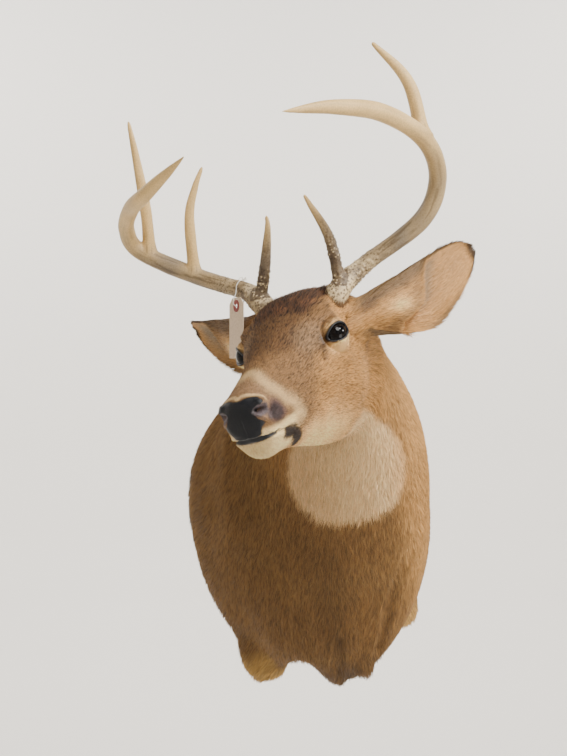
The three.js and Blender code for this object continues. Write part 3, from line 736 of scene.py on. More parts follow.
def ear_grid(side, offset, folded=False, rows=88, columns=61):
    """A sheet of the ear, `offset` times its thickness out from the hollow side. Rows run from
    inside the head to the tip, columns from edge to edge. The folded sheet spans the root."""
    mirror = np.array([side, 1, 1])
    base, lengthwise, twist, (tight, loose) = EARS[side]
    lengthwise = unit(np.array(lengthwise)) * mirror
    opening = EAR_OPENING * mirror
    opening = unit(opening - lengthwise * dot(opening, lengthwise))
    turned = np.radians(twist)
    opening = opening * np.cos(turned) + np.cross(lengthwise, opening) * np.sin(turned)
    across = np.cross(lengthwise, opening) * side
    run = np.linspace(-EAR_SUNK, 1, rows)[:, None]
    u = np.clip(run, 0, 1)
    v = np.linspace(-1, 1, columns)[None, :]
    half, shift = hermite(*EAR_HALF_WIDTH, u[:, 0]), hermite(*EAR_SHIFT, u[:, 0])
    roll = hermite((0, 0.2, 0.45, 0.75, 1), (2.6, tight, loose, 0.8, 0.5), u[:, 0])
    radius = half / roll
    rim = (1 - np.abs(v) ** 8) ** 0.5
    thick = EAR_THICKNESS * (1 - 0.55 * u) * (0.45 + (offset - 0.45) * rim)
    bend = v * roll
    sideways, depth = (radius + thick) * np.sin(bend), (radius + thick) * np.cos(bend)
    if folded:
        share = ear_fold(u, v)
        bulge = (8 + 10 * bell(u - 0.3, 0.2)) * (1 - u) * (1 - v * v)
        sideways += (radius * v * np.sin(roll) - sideways) * share
        depth += (radius * np.cos(roll) - bulge - depth) * share
    lift = 12 * ease(u) - 6 * u * u
    points = (np.array(base) * mirror + (run * EAR_LENGTH)[..., None] * lengthwise
              + (sideways + shift)[..., None] * across + (radius - depth + lift)[..., None] * opening)
    return from_head(points), run + 0 * v, v + 0 * u


def ear_rings(side):
    """Rings round the ear from its sunk root to its tip, over both its sheets."""
    outer = ear_grid(side, EAR_BACK)[0]
    inner = ear_grid(side, EAR_HOLLOW, folded=True)[0]
    return np.concatenate([outer, inner[:, -2:0:-1]], axis=1)


def lid_rings(side):
    """The thick bare edge of the lids, as a closed band round the eye's opening."""
    middle, gaze, back, up = eye_frame(side)
    turns = np.linspace(0, 2 * np.pi, 97)[:-1]
    direction = np.stack([np.cos(turns), np.sin(turns)], -1)
    reach = 1 / lid_place(direction[:, 0] * 10, direction[:, 1] * 10) * 10
    above = ease(direction[:, 1], -0.1, 0.5)
    profile = ((0.94, -1.6), (0.95, 0.5), (0.98, 1.3), (1.03, 1.9), (1.1, 2.3), (1.2, 1.8),
               (1.18, -1.0), (1.0, -1.8))
    rings = []
    for out, height in profile:
        hood = above * np.interp(out, [0.94, 1.2], [1.0, 0.0])
        flat = direction * (reach * (out - 0.07 * hood))[:, None]
        radius = EYE_RADIUS + height + 1.3 * hood * (height > 0)
        w = np.sqrt(np.clip(radius ** 2 - dot(flat, flat), 0, None))
        rings.append(middle + flat[:, :1] * back + flat[:, 1:] * up + w[:, None] * gaze)
    return from_head(np.array(rings))


# ---- markings -----------------------------------------------------------------------------------
def mix(colours, colour, share):
    return colours + (np.array(colour) - colours) * np.clip(share, 0, 1)[..., None]


def nose_pad(head):
    """1 on the bare nose pad, and 0 off it."""
    x, z = np.abs(head[..., 0]), head[..., 2] - PAD_LEVEL
    edge = np.interp(np.degrees(np.arctan2(z, x)), *PAD_EDGE)
    return ease(np.hypot(x, z) - edge, 0.6, -0.6) * ease(head[..., 1], -166, -172)


def lower_lip(head):
    """1 on the black edge of the lower lip, which is widest in front."""
    x, y, z = np.abs(head[..., 0]), head[..., 1], head[..., 2]
    depth = np.interp(x, [0, 14, 22, 27], [5.2, 4.8, 3.2, 1.0])
    return ease(z, -77.5 - depth - 0.6, -77.5 - depth + 0.6) * ease(z, -74, -76) * ease(y, -156, -162)


def body_markings(points, t, angle, palette):
    """Colour of the coat at points of the mount frame, and how much its hairs differ."""
    head = to_head(points)
    x, y, z = np.abs(head[..., 0]), head[..., 1], head[..., 2]
    colours = np.ones(points.shape) * palette.body
    broad = noise(points, 60, 3)
    colours = mix(colours, palette.body_light, 0.30 * ease(broad, -0.4, 0.9))
    # The face is grizzled grey brown and the cheeks are paler and redder.
    on_head = ease(t, 330, 262)
    colours = mix(colours, palette.face, on_head)
    below = z - np.interp(y, [-70, -10, 22], [-22, -6, 44]) - 4 * noise(points, 16, 35)
    tan = ease(below, 10, -16) * ease(y, -84, -24) * ease(t, 420, 300)
    colours = mix(colours, palette.cheek, tan * 0.9)
    under = np.sin(angle) + 0.05 * noise(points, 14, 39)
    jaw = on_head * ease(under, -0.55, -0.92) * ease(y, -112, -60) * ease(y, 95, -20)
    colours = mix(colours, palette.jaw, jaw)
    # The forehead and the bridge of the nose are browner, and the crown dark and rusty.
    top = ease(x, 46, 22) * ease(z + 0.22 * y, -30, -8) * on_head
    colours = mix(colours, palette.bridge, top * ease(y, -176, -160))
    colours = mix(colours, palette.brow_grey, 0.16 * around_point(head, (40, -40, 8), (26, 44, 28)))
    level = np.interp(y, [-20, 15, 60], [28, 41, 46])
    crown = ease(y + 0.12 * x + 5 * noise(points, 9, 31), -24, -4) * ease(z - level, 0, 8) * ease(t, 380, 300)
    colours = mix(colours, palette.crown, crown)
    colours = mix(colours, palette.rust, crown * ease(noise(points, 6, 5), 0.1, 0.7) * 0.5)
    # The muzzle: brown behind the pad, a pale band, pale lips, a dusky bare patch by the nostril.
    colours = mix(colours, palette.muzzle, ease(y, -146, -158) * ease(z, -62, -56))
    band = ease(line_distance(head, MUZZLE_BAND) + 2 * noise(points, 6, 19), 17, 0)
    colours = mix(colours, palette.cream, 0.46 * band)
    colours = mix(colours, palette.cream, 0.9 * ease(y, -92, -122) * ease(z, -64, -71))
    colours = mix(colours, palette.cheek, 0.55 * ease(z, -98, -108) * ease(t, 8, 20) * ease(t, 140, 100))
    colours = mix(colours, palette.dusky, around_point(head, (30, -157, -54), (23, 26, 20)) * 0.95)
    colours = mix(colours, palette.purple, around_point(head, (30, -159, -55), (18, 20, 17)))
    colours = mix(colours, palette.rim, around_point(head, (27, -173, -54), (9, 8, 8)) * 0.8)
    colours = mix(colours, palette.rim, ease(line_distance(head, NOSTRIL), 9, 5))
    colours = mix(colours, palette.cream, ease(line_distance(head, FRINGE), 2.8, 1.0) * 0.6)
    corner = ease(line_distance(head, MOUTH_CORNER) + 2.5 * noise(points, 4, 17), 13, 5)
    colours = mix(colours, palette.corner, corner * ease(z, -76.5, -79))
    # Pale rings round the eyes, and the tear gland's dark slit.
    for side in (1, -1):
        p, q, w = from_eye(head, side)
        reach = np.where(q > 0, 1.8, 2.75) + 0.15 * noise(points, 5, 37)
        ring = ease(lid_place(p, q), reach, reach - np.where(q > 0, 0.8, 1.2))
        ring = ring * ease(w, -8, 2) * np.where(q > 0, 0.9, 1.0)
        steep = np.abs(q) / (np.abs(p) + np.abs(q) + 0.1)
        colours = mix(colours, palette.eye_ring, ring * ease(steep, 0.15, 0.6))
    colours = mix(colours, palette.lid_grey, around_point(head, (53.5, -27, 0), (8, 7, 9)) * 0.9)
    colours = mix(colours, palette.corner, 0.85 * bell(line_distance(head, TEAR_SLIT), 2.8))
    # The white throat, and the pale inner faces of the cut-off forelegs.
    px, py, pz = points[..., 0], points[..., 1], points[..., 2]
    ragged = 0.07 * noise(points, 12, 8) + 0.05 * noise(points, 5, 9)
    throat = np.abs((px - 66) / 84) ** 2.3 + np.abs((pz - 102) / 75) ** 2.3 + ragged
    patch = ease(throat, 1.12, 0.88) * ease(py, -240, -262) * ease(t, 255, 275)
    colours = mix(colours, palette.throat, patch)
    colours = mix(colours, palette.throat, ease(t, 240, 262) * ease(t, 350, 300) * ease(under, -0.74, -0.92))
    for at, radii in FORELEG_STUBS:
        near = np.linalg.norm((points - at) / np.array(radii), axis=-1)
        low = ease(pz - at[2], 10, -14)
        colours = mix(colours, palette.stub, ease(near, 1.35, 1.08) * low)
    # Painted shade: the coat is darker under the brisket, and over the buck's right half of the neck and
    # chest, on the side away from the key lamp.
    colours = colours * (1 - 0.3 * ease(pz, -165, -215) * ease(py, -120, -190)
                         - 0.12 * ease(px, 60, -10) * ease(t, 255, 300))[..., None]
    # Painted shade along the middle of the breast and in the two creases of the hide.
    middle, side, brisket = (line_distance(points, line, False) for line in
                             (BREAST_LINE, SIDE_CREASE, BRISKET_CREASE))
    colours = colours * (1 - 0.16 * ease(middle, 40, 8) - 0.12 * bell(side, 9)
                         - 0.2 * bell(brisket, 7))[..., None]
    # The buck's left edge is a lighter tan.
    flank = ease(px, 110, 165) * ease(t, 290, 420) * ease(py, -55, -165)
    colours = mix(colours, palette.flank, 0.75 * flank)
    # The grizzle and the painted shade deep in the coat: how far the tufts differ in tone. It is less on pale
    # hair, and more on the crown.
    contrast = np.interp(t, [0, 30, 120, 260, 340], [0.18, 0.34, 0.54, 0.48, 0.27])
    contrast = contrast * np.interp(colours.mean(-1), [0.1, 0.25, 0.5], [1.05, 0.75, 0.4])
    return colours, contrast * (1 - 0.5 * band + 0.6 * crown)


def ear_markings(u, v, side, inner, palette):
    """Colour of an ear's coat by its place from root to tip and from edge to edge."""
    if inner:
        colours = np.ones((*u.shape, 3)) * palette.ear_inner
        beyond = u - np.interp(v, *EAR_FOLD)
        # Painted shadow: a grey band in the hollow just beyond the fold's edge, where the fold shades it.
        hollow = bell(beyond - 0.05, 0.07) * ease(v, 0.5, 0.1) * ease(v, -0.95, -0.6)
        colours = mix(colours, palette.ear_grey_and_fold_shadow, 0.75 * hollow)
        greyness = 1.0 if side < 0 else 0.2
        colours = mix(colours, palette.ear_grey_and_fold_shadow, greyness * bell(v + 0.1, 0.8) * ease(u, 1.0, 0.8))
        colours = mix(colours, palette.cheek, 0.8 * ease(v, 0.45, 0.8) * ease(u, 0.75, 0.5))
        edge = ease(v, 0.8, 0.95) * ease(u, 0.3, 0.4) * ease(u, 0.9, 0.6)
        colours = mix(colours, palette.ear_outer, 0.75 * edge)
        folded = ear_fold(u, v)
        colours = mix(colours, palette.cheek, folded)
        shaded = np.maximum(0.5 * bell(beyond + 0.07, 0.06), ease(v, -0.35, -0.85))
        colours = mix(colours, palette.ear_outer, folded * shaded)
        colours = mix(colours, palette.eye_ring, folded * bell(u - 0.27, 0.09) * bell(v + 0.1, 0.3) * 0.8)
        colours = mix(colours, palette.bridge, 0.6 * folded * ease(u, 0.16, 0.08) * ease(v, -0.3, -0.6))
    else:
        colours = np.ones((*u.shape, 3)) * palette.ear_outer
    top = ease(u, 0.5, 0.66) * ease(-v, 0.84, 0.95)
    tip = ease(u, 0.93, 0.975) + ease(u, 0.8, 0.9) * ease(v, 0.8, 0.93)
    colours = mix(colours, palette.ear_rim, np.maximum(top, tip) * 0.9)
    return colours


# ---- the coat -----------------------------------------------------------------------------------
def scatter(fields, density, points, rng):
    """Roots spread over a grid by density per square millimetre: the fields at each root."""
    across = points[:-1, 1:] - points[:-1, :-1]
    along = points[1:, :-1] - points[:-1, :-1]
    area = np.linalg.norm(np.cross(across, along), axis=-1)
    wanted = area * density[:-1, :-1]
    number = np.floor(wanted + rng.random(wanted.shape)).astype(int)
    i, j = np.nonzero(number)
    i, j = (np.repeat(k, number[i, j]) for k in (i, j))
    if len(i) > MOST_TUFTS:
        keep = np.sort(rng.permutation(len(i))[:MOST_TUFTS])
        i, j = i[keep], j[keep]
    a, b = rng.random((2, len(i), 1))
    return ((fields[i, j] * (1 - a) + fields[i + 1, j] * a) * (1 - b)
            + (fields[i, j + 1] * (1 - a) + fields[i + 1, j + 1] * a) * b)


def tuft_mesh(name, roots, rng, curl=0.12):
    """A piece of coat: each tuft a closed sliver of four faces from a root row, by its columns:
    place 0-2, normal 3-5, flow 6-8, colour 9-11, contrast, length, width, lift, u, v."""
    place, normal, flow, colour = (roots[:, 3 * k:3 * k + 3] for k in range(4))
    contrast, length, width, lift, map_u, map_v = roots[:, 12:18].T[..., None]
    count = len(roots)
    normal = unit(normal)
    flow = unit(flow - normal * dot(flow, normal)[:, None])
    side = np.cross(normal, flow)
    length = length * rng.uniform(0.75, 1.25, (count, 1))
    width = width * rng.uniform(0.8, 1.25, (count, 1))
    lift = lift * rng.uniform(0.35, 1.05, (count, 1))
    bend = rng.normal(0, curl, (count, 1)) * length
    base = place - normal * 0.35
    left = base - side * width / 2
    right = base + side * width / 2
    ridge = place + flow * length * 0.45 + normal * (lift * 0.6 + width * 0.22) + side * bend * 0.25
    tip = place + flow * length + normal * lift + side * bend
    points = np.stack([left, right, ridge, tip], 1).reshape(-1, 3)
    points[:, 1] = np.minimum(points[:, 1], WALL_GAP)
    one = np.array([(0, 3, 2), (1, 2, 3), (0, 2, 1), (0, 1, 3)])
    faces = (one[None] + 4 * np.arange(count)[:, None, None]).reshape(-1, 3)
    obj = new_mesh(name, points @ HANG.T, faces)

    # Flecks of grizzle, and a random share of tufts painted darker as shade and dark underfur deep in the
    # coat.
    fleck_and_depth_shade = noise(place, 2.0, 41)[:, None] * 0.6 + rng.choice((-1.1, 0.7), (count, 1), p=(0.38, 0.62))
    shade = np.clip(1 + contrast * fleck_and_depth_shade, 0.2, 2.2)
    warmth = 1 + rng.normal(0, 0.05, (count, 1)) * np.array([-0.4, 0.2, 1.0])
    tint = (colour * shade * warmth)[:, None, :] * np.array([0.58, 0.58, 0.95, 1.22])[None, :, None]
    paint(obj, "Hair", tint.reshape(-1, 3).clip(0.002, 0.9))

    tilt = unit(normal + rng.normal(0, 0.16, (count, 3)))
    lean = np.stack([tilt - side * 0.7, tilt + side * 0.7, tilt, tilt + flow * 0.35], 1)
    obj.data.normals_split_custom_set_from_vertices(unit(lean.reshape(-1, 3)) @ HANG.T)

    patch = np.array([(-0.0015, -0.0015), (0.0015, -0.0015), (0, 0.0004), (0, 0.0015)])
    at = np.concatenate([map_u, map_v], 1) * 0.99 + 0.005
    corner = (at[:, None, :] + patch[None]).reshape(-1, 2)
    layer = obj.data.uv_layers.new(name="OFBake")
    layer.data.foreach_set("uv", corner[faces.ravel()].astype(np.float32).ravel())
    return obj


def grid_flow(grid, normals, downward):
    """The way the hair lies: along the grid's rows, and downwards by a share."""
    along = unit(np.gradient(grid, axis=0))
    down = HANG.T @ np.array([0, 0, -1.0])
    down = down - normals * dot(normals, down)[..., None]
    return unit(along + down * downward[..., None])


@lru_cache(maxsize=None)
def antler_lines():
    """Beams and tines as (side name, points in the mount frame, radii, run from the burr, kind)."""
    lines = []
    for name, (side, beam, tines) in ANTLERS.items():
        mirror = np.array([side, 1, 1])
        spine = curve_through(from_head(np.array(beam) * mirror), 500)
        lines.append((name, spine, hermite(*BEAM_RADIUS, np.linspace(0, 1, 500))[:, 0], "beam"))
        for k, (root, thick, rest) in enumerate(tines):
            start = spine[int(round(root * 499))]
            points = np.vstack([start, from_head(np.array(rest) * mirror)])
            tine = curve_through(points, 160)
            radii = thick * hermite(*TINE_TAPER, np.linspace(0, 1, 160))[:, 0]
            lines.append((name, tine, radii, "brow" if k == 0 else "tine"))
    return lines


def clear_of_antlers(points, gap=1.0):
    """False at points inside an antler's base."""
    keep = np.ones(len(points), bool)
    for _, line, radius, _ in antler_lines():
        near = line[:60:4]
        distance = np.linalg.norm(points[:, None] - near[None], axis=-1) - radius[:60:4]
        keep &= (distance > gap).all(1)
    return keep


def clear_of_eyes(points):
    """False at points on the bare lids or in the eye's opening."""
    keep = np.ones(len(points), bool)
    for side in (1, -1):
        p, q, w = from_eye(to_head(points), side)
        keep &= (lid_place(p, q) >= 1.11) | (w <= 0)
    return keep


# The tufts' length and width in mm, and their number on a square millimetre, by the run from the nose.
COAT_RUN = (2, 20, 60, 120, 200, 284, 340, 420, 775)
COAT_LENGTH = (2.0, 3.0, 4.5, 6, 7, 10, 16, 20, 23)
COAT_WIDTH = (0.8, 0.9, 1.1, 1.2, 1.25, 1.35, 1.4, 1.5, 1.6)
COAT_DENSITY = ((2, 20, 60, 120, 200, 284, 340, 420, 480, 560, 775),
                (2.1, 1.9, 1.55, 1.2, 1.05, 0.9, 0.6, 0.52, 0.5, 0.43, 0.41))
# The pieces of the coat: a name, and the run at which each starts and ends.
COAT_PARTS = (("coat_muzzle", 2, 112), ("coat_face", 112, 215), ("coat_cheeks", 215, 300),
              ("coat_throat", 300, 400), ("coat_neck", 400, 485), ("coat_chest", 485, 570),
              ("coat_shoulders", 570, 660), ("coat_hem", 660, 776))


@lru_cache(maxsize=None)
def coat_fields():
    """Every value that a tuft on the body needs, over the skin's grid."""
    palette, coat = bpy.context.scene.mount_colours, bpy.context.scene.mount_coat
    grid = body_grid()
    t, skin, normals = grid["run"], grid["skin"], grid["normals"]
    colours, contrast = body_markings(grid["outer"], t, grid["turns"], palette)
    head = to_head(grid["outer"])
    crown = ease(head[..., 1] + 0.12 * np.abs(head[..., 0]), -24, 6)
    crown = crown * ease(head[..., 2], 28, 42) * ease(t, 400, 300)
    flow = grid_flow(skin, normals, 0.9 * ease(t, 250, 400))
    sideways = np.cross(normals, flow)
    wave = noise(skin, 34, 21) * (0.14 + 0.16 * ease(t, 280, 380)) + noise(skin, 13, 22) * 0.5 * crown
    flow = flow + wave[..., None] * sideways
    # Behind the eyes the hair turns out along the ears.
    for side, (base, lengthwise, _, _) in EARS.items():
        mirror = np.array([side, 1, 1])
        toward = ease(np.linalg.norm(head - base * mirror, axis=-1), 78, 44)[..., None]
        flow = flow + 1.8 * toward * (HEAD @ (lengthwise * mirror))
    foot = np.zeros(t.shape)
    for _, line, _, kind in antler_lines():
        if kind == "beam":
            gap = np.linalg.norm(skin[..., None, :] - line[30:110:8], axis=-1).min(-1) - 12
            near = ease(gap, 14, 2)
            flow = flow + 1.5 * near[..., None] * unit(line[90] - line[40])
            foot = np.maximum(foot, near)
    flow = unit(flow)
    length, width = np.interp(t, COAT_RUN, COAT_LENGTH), np.interp(t, COAT_RUN, COAT_WIDTH)
    for side in (1, -1):
        p, q, w = from_eye(head, side)
        length = length * np.where(w > -12, np.interp(lid_place(p, q), [1.1, 2.4], [0.4, 1]), 1)
    chin = ease(head[..., 2], -88, -100) * ease(t, 90, 50)
    length = length * (1 + 0.9 * crown + 0.9 * chin) * coat.length
    lift = grid["depth"] * (1 + 1.1 * crown) + 3 * foot + 1.6 * chin
    fields = joined(skin, normals, flow, colours, contrast, length, width, lift,
                    grid["turns"] / (2 * np.pi), t)
    density = np.interp(t, *COAT_DENSITY) * (nose_pad(head) < 0.4) * coat.density
    density = density * (line_distance(head, LIP_LINE) > 1.3) * (line_distance(head, NOSTRIL) > 3.0)
    density = density * (line_distance(head, TEAR_SLIT) > 1.2) * (lower_lip(head) < 0.5)
    return fields, density


def joined(*values):
    """Vectors and plain numbers over a grid, side by side as one row for each point."""
    return np.concatenate([v if v.ndim == 3 else v[..., None] for v in values], -1)


def wrapped(grid):
    """The grid with its first column again at the end."""
    return np.concatenate([grid, grid[:, :1]], axis=1)


def skin_tree():
    """The finished skin, to be asked for its nearest point. It holds metres of the plumb frame."""
    return BVHTree.FromObject(bpy.data.objects["skin"], bpy.context.evaluated_depsgraph_get())


def seated(roots, tree):
    """Moves the roots near the ears onto the finished skin, where ear and head are blended."""
    for i in np.flatnonzero(ear_distance(to_head(roots[:, :3])) < NEAR_EAR):
        place, normal, _, distance = tree.find_nearest(Vector(HANG @ roots[i, :3] * MM))
        if distance < SEATING * MM:
            roots[i, :3] = HANG.T @ np.array(place) / MM
            roots[i, 3:6] = HANG.T @ np.array(normal)
    return roots


def add_body_coat(material, tree):
    """The coat of head, neck and shoulders, in pieces from nose to hem."""
    coat = bpy.context.scene.mount_coat
    fields, density = coat_fields()
    fields, density = wrapped(fields), wrapped(density)
    fields[:, -1, 16] = 1.0
    for k, (name, start, end) in enumerate(COAT_PARTS):
        rng = np.random.default_rng(coat.seed + k)
        t = fields[:, 0, 17]
        rows = (t >= start) & (t <= end + 3)
        part = fields[rows].copy()
        roots = scatter(part, density[rows], part[..., :3], rng)
        roots = roots[clear_of_antlers(roots[:, :3]) & clear_of_eyes(roots[:, :3])]
        roots[:, 17] = (roots[:, 17] - start) / (end + 8 - start)
        obj = tuft_mesh(name, seated(roots, tree), rng)
        put_material(obj, material)
        finish_piece(obj, "coat")


def nearest_on_body(points):
    """How far each point stands out of the body's own skin, and the colour of the coat there."""
    grid, (fields, _) = body_grid(), coat_fields()
    rows = (grid["t"] > 200) & (grid["t"] < 420)
    sheet = fields[rows].reshape(-1, fields.shape[-1])
    near = sheet[nearest(sheet[:, :3], points)]
    return dot(points - near[:, :3], near[:, 3:6]), near[:, 9:12]


def add_collars(material, tree):
    """Hair that stands up round the foot of each antler and lies against it."""
    palette, coat = bpy.context.scene.mount_colours, bpy.context.scene.mount_coat
    rng = np.random.default_rng(coat.seed + 70)
    rows = []
    for _, line, radii, kind in antler_lines():
        if kind != "beam":
            continue
        run = run_along(line)
        heading, across, up = carried_frames(line)
        for turning in rng.uniform(0, 2 * np.pi, 1100):
            outward = across * np.cos(turning) + up * np.sin(turning)
            shell = line + outward * (radii + 0.6)[:, None]
            for k in range(np.searchsorted(run, 3), np.searchsorted(run, 75), 3):
                place, normal, _, _ = tree.find_nearest(Vector(HANG @ shell[k] * MM))
                if (HANG @ shell[k] * MM - np.array(place)) @ np.array(normal) > 0:
                    break
            out = rng.uniform(0, 5)
            at = shell[k] + heading[k] * (rng.uniform(-2, 2) - 1.5 - 0.8 * out) + outward[k] * out
            outer = (outward[k] @ HEAD[:, 0]) * np.sign(to_head(shell[k])[0])
            rows.append((at, outward[k], heading[k] + outward[k] * (0.15 + 0.2 * out), outer))
    place, normal, flow = (np.array([row[k] for row in rows]) for k in range(3))
    outer, count = np.array([row[3] for row in rows]), len(rows)
    colours = mix(np.ones((count, 3)) * palette.crown, palette.face, ease(outer, 0.0, 0.7) * 0.8)
    size = np.array([(0.3, rng.uniform(3.5, 7.5), rng.uniform(0.8, 1.2), rng.uniform(0.2, 1.2))
                     for _ in rows])
    spread = np.linspace(0.02, 0.98, count)[:, None]
    roots = np.hstack([place, normal, flow, colours, size, spread, 0.5 + 0 * spread])
    obj = tuft_mesh("coat_antler_collars", roots, rng, 0.18)
    put_material(obj, material)
    finish_piece(obj, "coat")


def ear_fields(side, inner, palette):
    """Every value that a tuft on one sheet of an ear needs, and the tufts' density."""
    offset = EAR_HOLLOW if inner else EAR_BACK
    points, u, v = ear_grid(side, offset, folded=inner)
    open_sheet = ear_grid(side, offset)[0]
    open_normals = grid_normals(open_sheet, wraps=False)
    facing = np.sign(dot(open_normals, open_sheet - ear_grid(side, 0.45)[0]).sum())
    # On the step at the fold's end the hairs stand as on the open sheet, so none goes through it.
    step = bell(u - np.interp(v, *EAR_FOLD), 0.04) * inner
    normals = unit(mix(grid_normals(points, wraps=False), open_normals, step)) * facing
    colours = ear_markings(u, v, side, inner, palette)
    along = unit(np.gradient(open_sheet, axis=0))
    across = unit(np.gradient(open_sheet, axis=1))
    flow = unit(along + (0.35 if inner else 0.15) * v[..., None] * across)
    if inner:
        folded = ear_fold(u, v)
        length = np.interp(u, [0, 0.3, 0.7, 1], [20, 17, 11, 4]) * (0.6 + 0.5 * np.abs(v))
        length = length + (10 - length) * folded
        lift = np.interp(u, [0, 0.3, 0.7, 1], [3, 2.5, 1.2, 0.6]) + 1.2 * ease(np.abs(v), 0.5, 0.9)
        lift = lift + (1.8 - lift) * folded
        width = np.interp(u, [0, 1], [1.1, 0.8]) + 0.3 * folded
    else:
        length = np.interp(u, [0, 0.3, 1], [10, 7, 5]) + 0 * v
        lift = np.interp(u, [0, 1], [1.8, 0.7]) + 0 * v
        width = np.interp(u, [0, 1], [1.4, 1.0])
    contrast = 0.14 + 0.1 * (not inner) + (0.12 * ear_fold(u, v) if inner else 0 * u)
    density = np.interp(u, [0, 0.15, 1], [0.68, 0.68, 0.84] if inner else [0.68, 0.68, 0.9])
    fields = joined(points, normals, flow, colours, contrast, length, width + 0 * v, lift,
                    (v + 1) / 4 + 0.5 * (not inner), (u + EAR_SUNK) / (1 + EAR_SUNK))
    return fields, density + 0 * v


def add_ear_coat(side, material, tree):
    """The coat of one ear, longer in its hollow, with the head's colours at its root."""
    palette, coat = bpy.context.scene.mount_colours, bpy.context.scene.mount_coat
    rng = np.random.default_rng(coat.seed + 40 + side)
    parts = []
    for inner in (True, False):
        fields, density = ear_fields(side, inner, palette)
        parts.append(scatter(fields, density * coat.density, fields[..., :3], rng))
    roots = np.vstack(parts)
    if len(roots) > MOST_TUFTS:
        roots = roots[np.sort(rng.permutation(len(roots))[:MOST_TUFTS])]
    roots = roots[clear_of_antlers(roots[:, :3], 0.5)]
    height, colours = nearest_on_body(roots[:, :3])
    roots[:, 9:12] = mix(roots[:, 9:12], colours, ease(height, 28, 4))
    roots[:, 13] *= np.interp(height, [0, 25], [0.55, 1])
    roots = seated(roots[height > 0.5], tree)
    obj = tuft_mesh("coat_ear_left" if side > 0 else "coat_ear_right", roots, rng, 0.08)
    put_material(obj, material)
    finish_piece(obj, "coat")


# ---- finishes -----------------------------------------------------------------------------------
def hair_material():
    """Deer hair: hollow, dry and slightly glossy along each hair, so a soft broken sheen."""
    material = new_material("Deer hair, groomed")
    hair = node(material, "ShaderNodeVertexColor", layer_name="Hair")
    return surface(material, (hair, "Color"), Roughness=0.62, IOR=1.55, Specular_IOR_Level=0.28)


def hide_material():
    """Tanned hide with the shortest underfur on it: matt, with a nap in clumps of 1.1 to 1.4 mm,
    drawn coarser than the real one so that it shows."""
    material = new_material("Tanned deer hide, short nap")
    place = node(material, "ShaderNodeTexCoord")
    hide = node(material, "ShaderNodeVertexColor", layer_name="Hide")
    nap = node(material, "ShaderNodeTexNoise", [("Vector", place, "Object")], Scale=0.9 / MM,
               Detail=3.0)
    dark = node(material, "ShaderNodeMix", [(COLOUR_A, hide, "Color"), (COLOUR_B, nap, "Color")],
                data_type="RGBA", blend_type="MULTIPLY", Factor=0.35)
    bump = node(material, "ShaderNodeBump", [("Height", nap, "Fac")], Strength=0.5, Distance=0.0006)
    return surface(material, (dark, MIXED), bump, Roughness=0.8, Specular_IOR_Level=0.2)


def nose_material():
    """Painted nose leather: black, satin, with the pebbles of the pad about 1.4 mm across."""
    material = new_material("Nose leather, painted satin black")
    place = node(material, "ShaderNodeTexCoord")
    hide = node(material, "ShaderNodeVertexColor", layer_name="Hide")
    cells = node(material, "ShaderNodeTexVoronoi", [("Vector", place, "Object")], Scale=0.7 / MM)
    bump = node(material, "ShaderNodeBump", [("Height", cells, "Distance")], Strength=0.55,
                Distance=0.0005, invert=True)
    return surface(material, (hide, "Color"), bump, Roughness=0.4, Specular_IOR_Level=0.3)


def bare_skin_material():
    """Bare painted skin of the lids, lips and nostrils: a slight gloss, and creases 0.8 mm apart,
    drawn wider than the real ones so that they show."""
    material = new_material("Bare skin, painted")
    place = node(material, "ShaderNodeTexCoord")
    hide = node(material, "ShaderNodeVertexColor", layer_name="Hide")
    creases = node(material, "ShaderNodeTexNoise", [("Vector", place, "Object")], Scale=1.2 / MM, Detail=2.0)
    bump = node(material, "ShaderNodeBump", [("Height", creases, "Fac")], Strength=0.3, Distance=0.0003)
    return surface(material, (hide, "Color"), bump, Roughness=0.42, Specular_IOR_Level=0.5)


def eye_material():
    """Cast glass eye: painted from behind in flecks of 2 mm, polished in front."""
    material = new_material("Glass eye, polished")
    place = node(material, "ShaderNodeTexCoord")
    iris = node(material, "ShaderNodeVertexColor", layer_name="Iris")
    fibres = node(material, "ShaderNodeTexNoise", [("Vector", place, "Object")], Scale=0.5 / MM, Detail=4.0)
    tone = node(material, "ShaderNodeMix", [(COLOUR_A, iris, "Color"), (COLOUR_B, fibres, "Color")],
                data_type="RGBA", blend_type="MULTIPLY", Factor=0.5)
    return surface(material, (tone, MIXED), Roughness=0.03, IOR=1.5, Specular_IOR_Level=0.18)


def antler_material():
    """Antler: dry bone, ivory where rubbed and brown in the grooves, with a grain of 1.9 mm flecks."""
    material = new_material("Antler bone, rubbed")
    place = node(material, "ShaderNodeTexCoord")
    bone = node(material, "ShaderNodeVertexColor", layer_name="Bone")
    grain = node(material, "ShaderNodeTexNoise", [("Vector", place, "Object")], Scale=0.52 / MM, Detail=5.0)
    tones = node(material, "ShaderNodeValToRGB", [("Fac", grain, "Fac")],
                 stops=((0.3, (0.62, 0.60, 0.56)), (0.6, (1, 1, 1))))
    tone = node(material, "ShaderNodeMix", [(COLOUR_A, bone, "Color"), (COLOUR_B, tones, "Color")],
                data_type="RGBA", blend_type="MULTIPLY", Factor=0.6)
    bump = node(material, "ShaderNodeBump", [("Height", grain, "Fac")], Strength=0.35, Distance=0.0004)
    return surface(material, (tone, MIXED), bump, Roughness=0.5, IOR=1.54, Specular_IOR_Level=0.4)


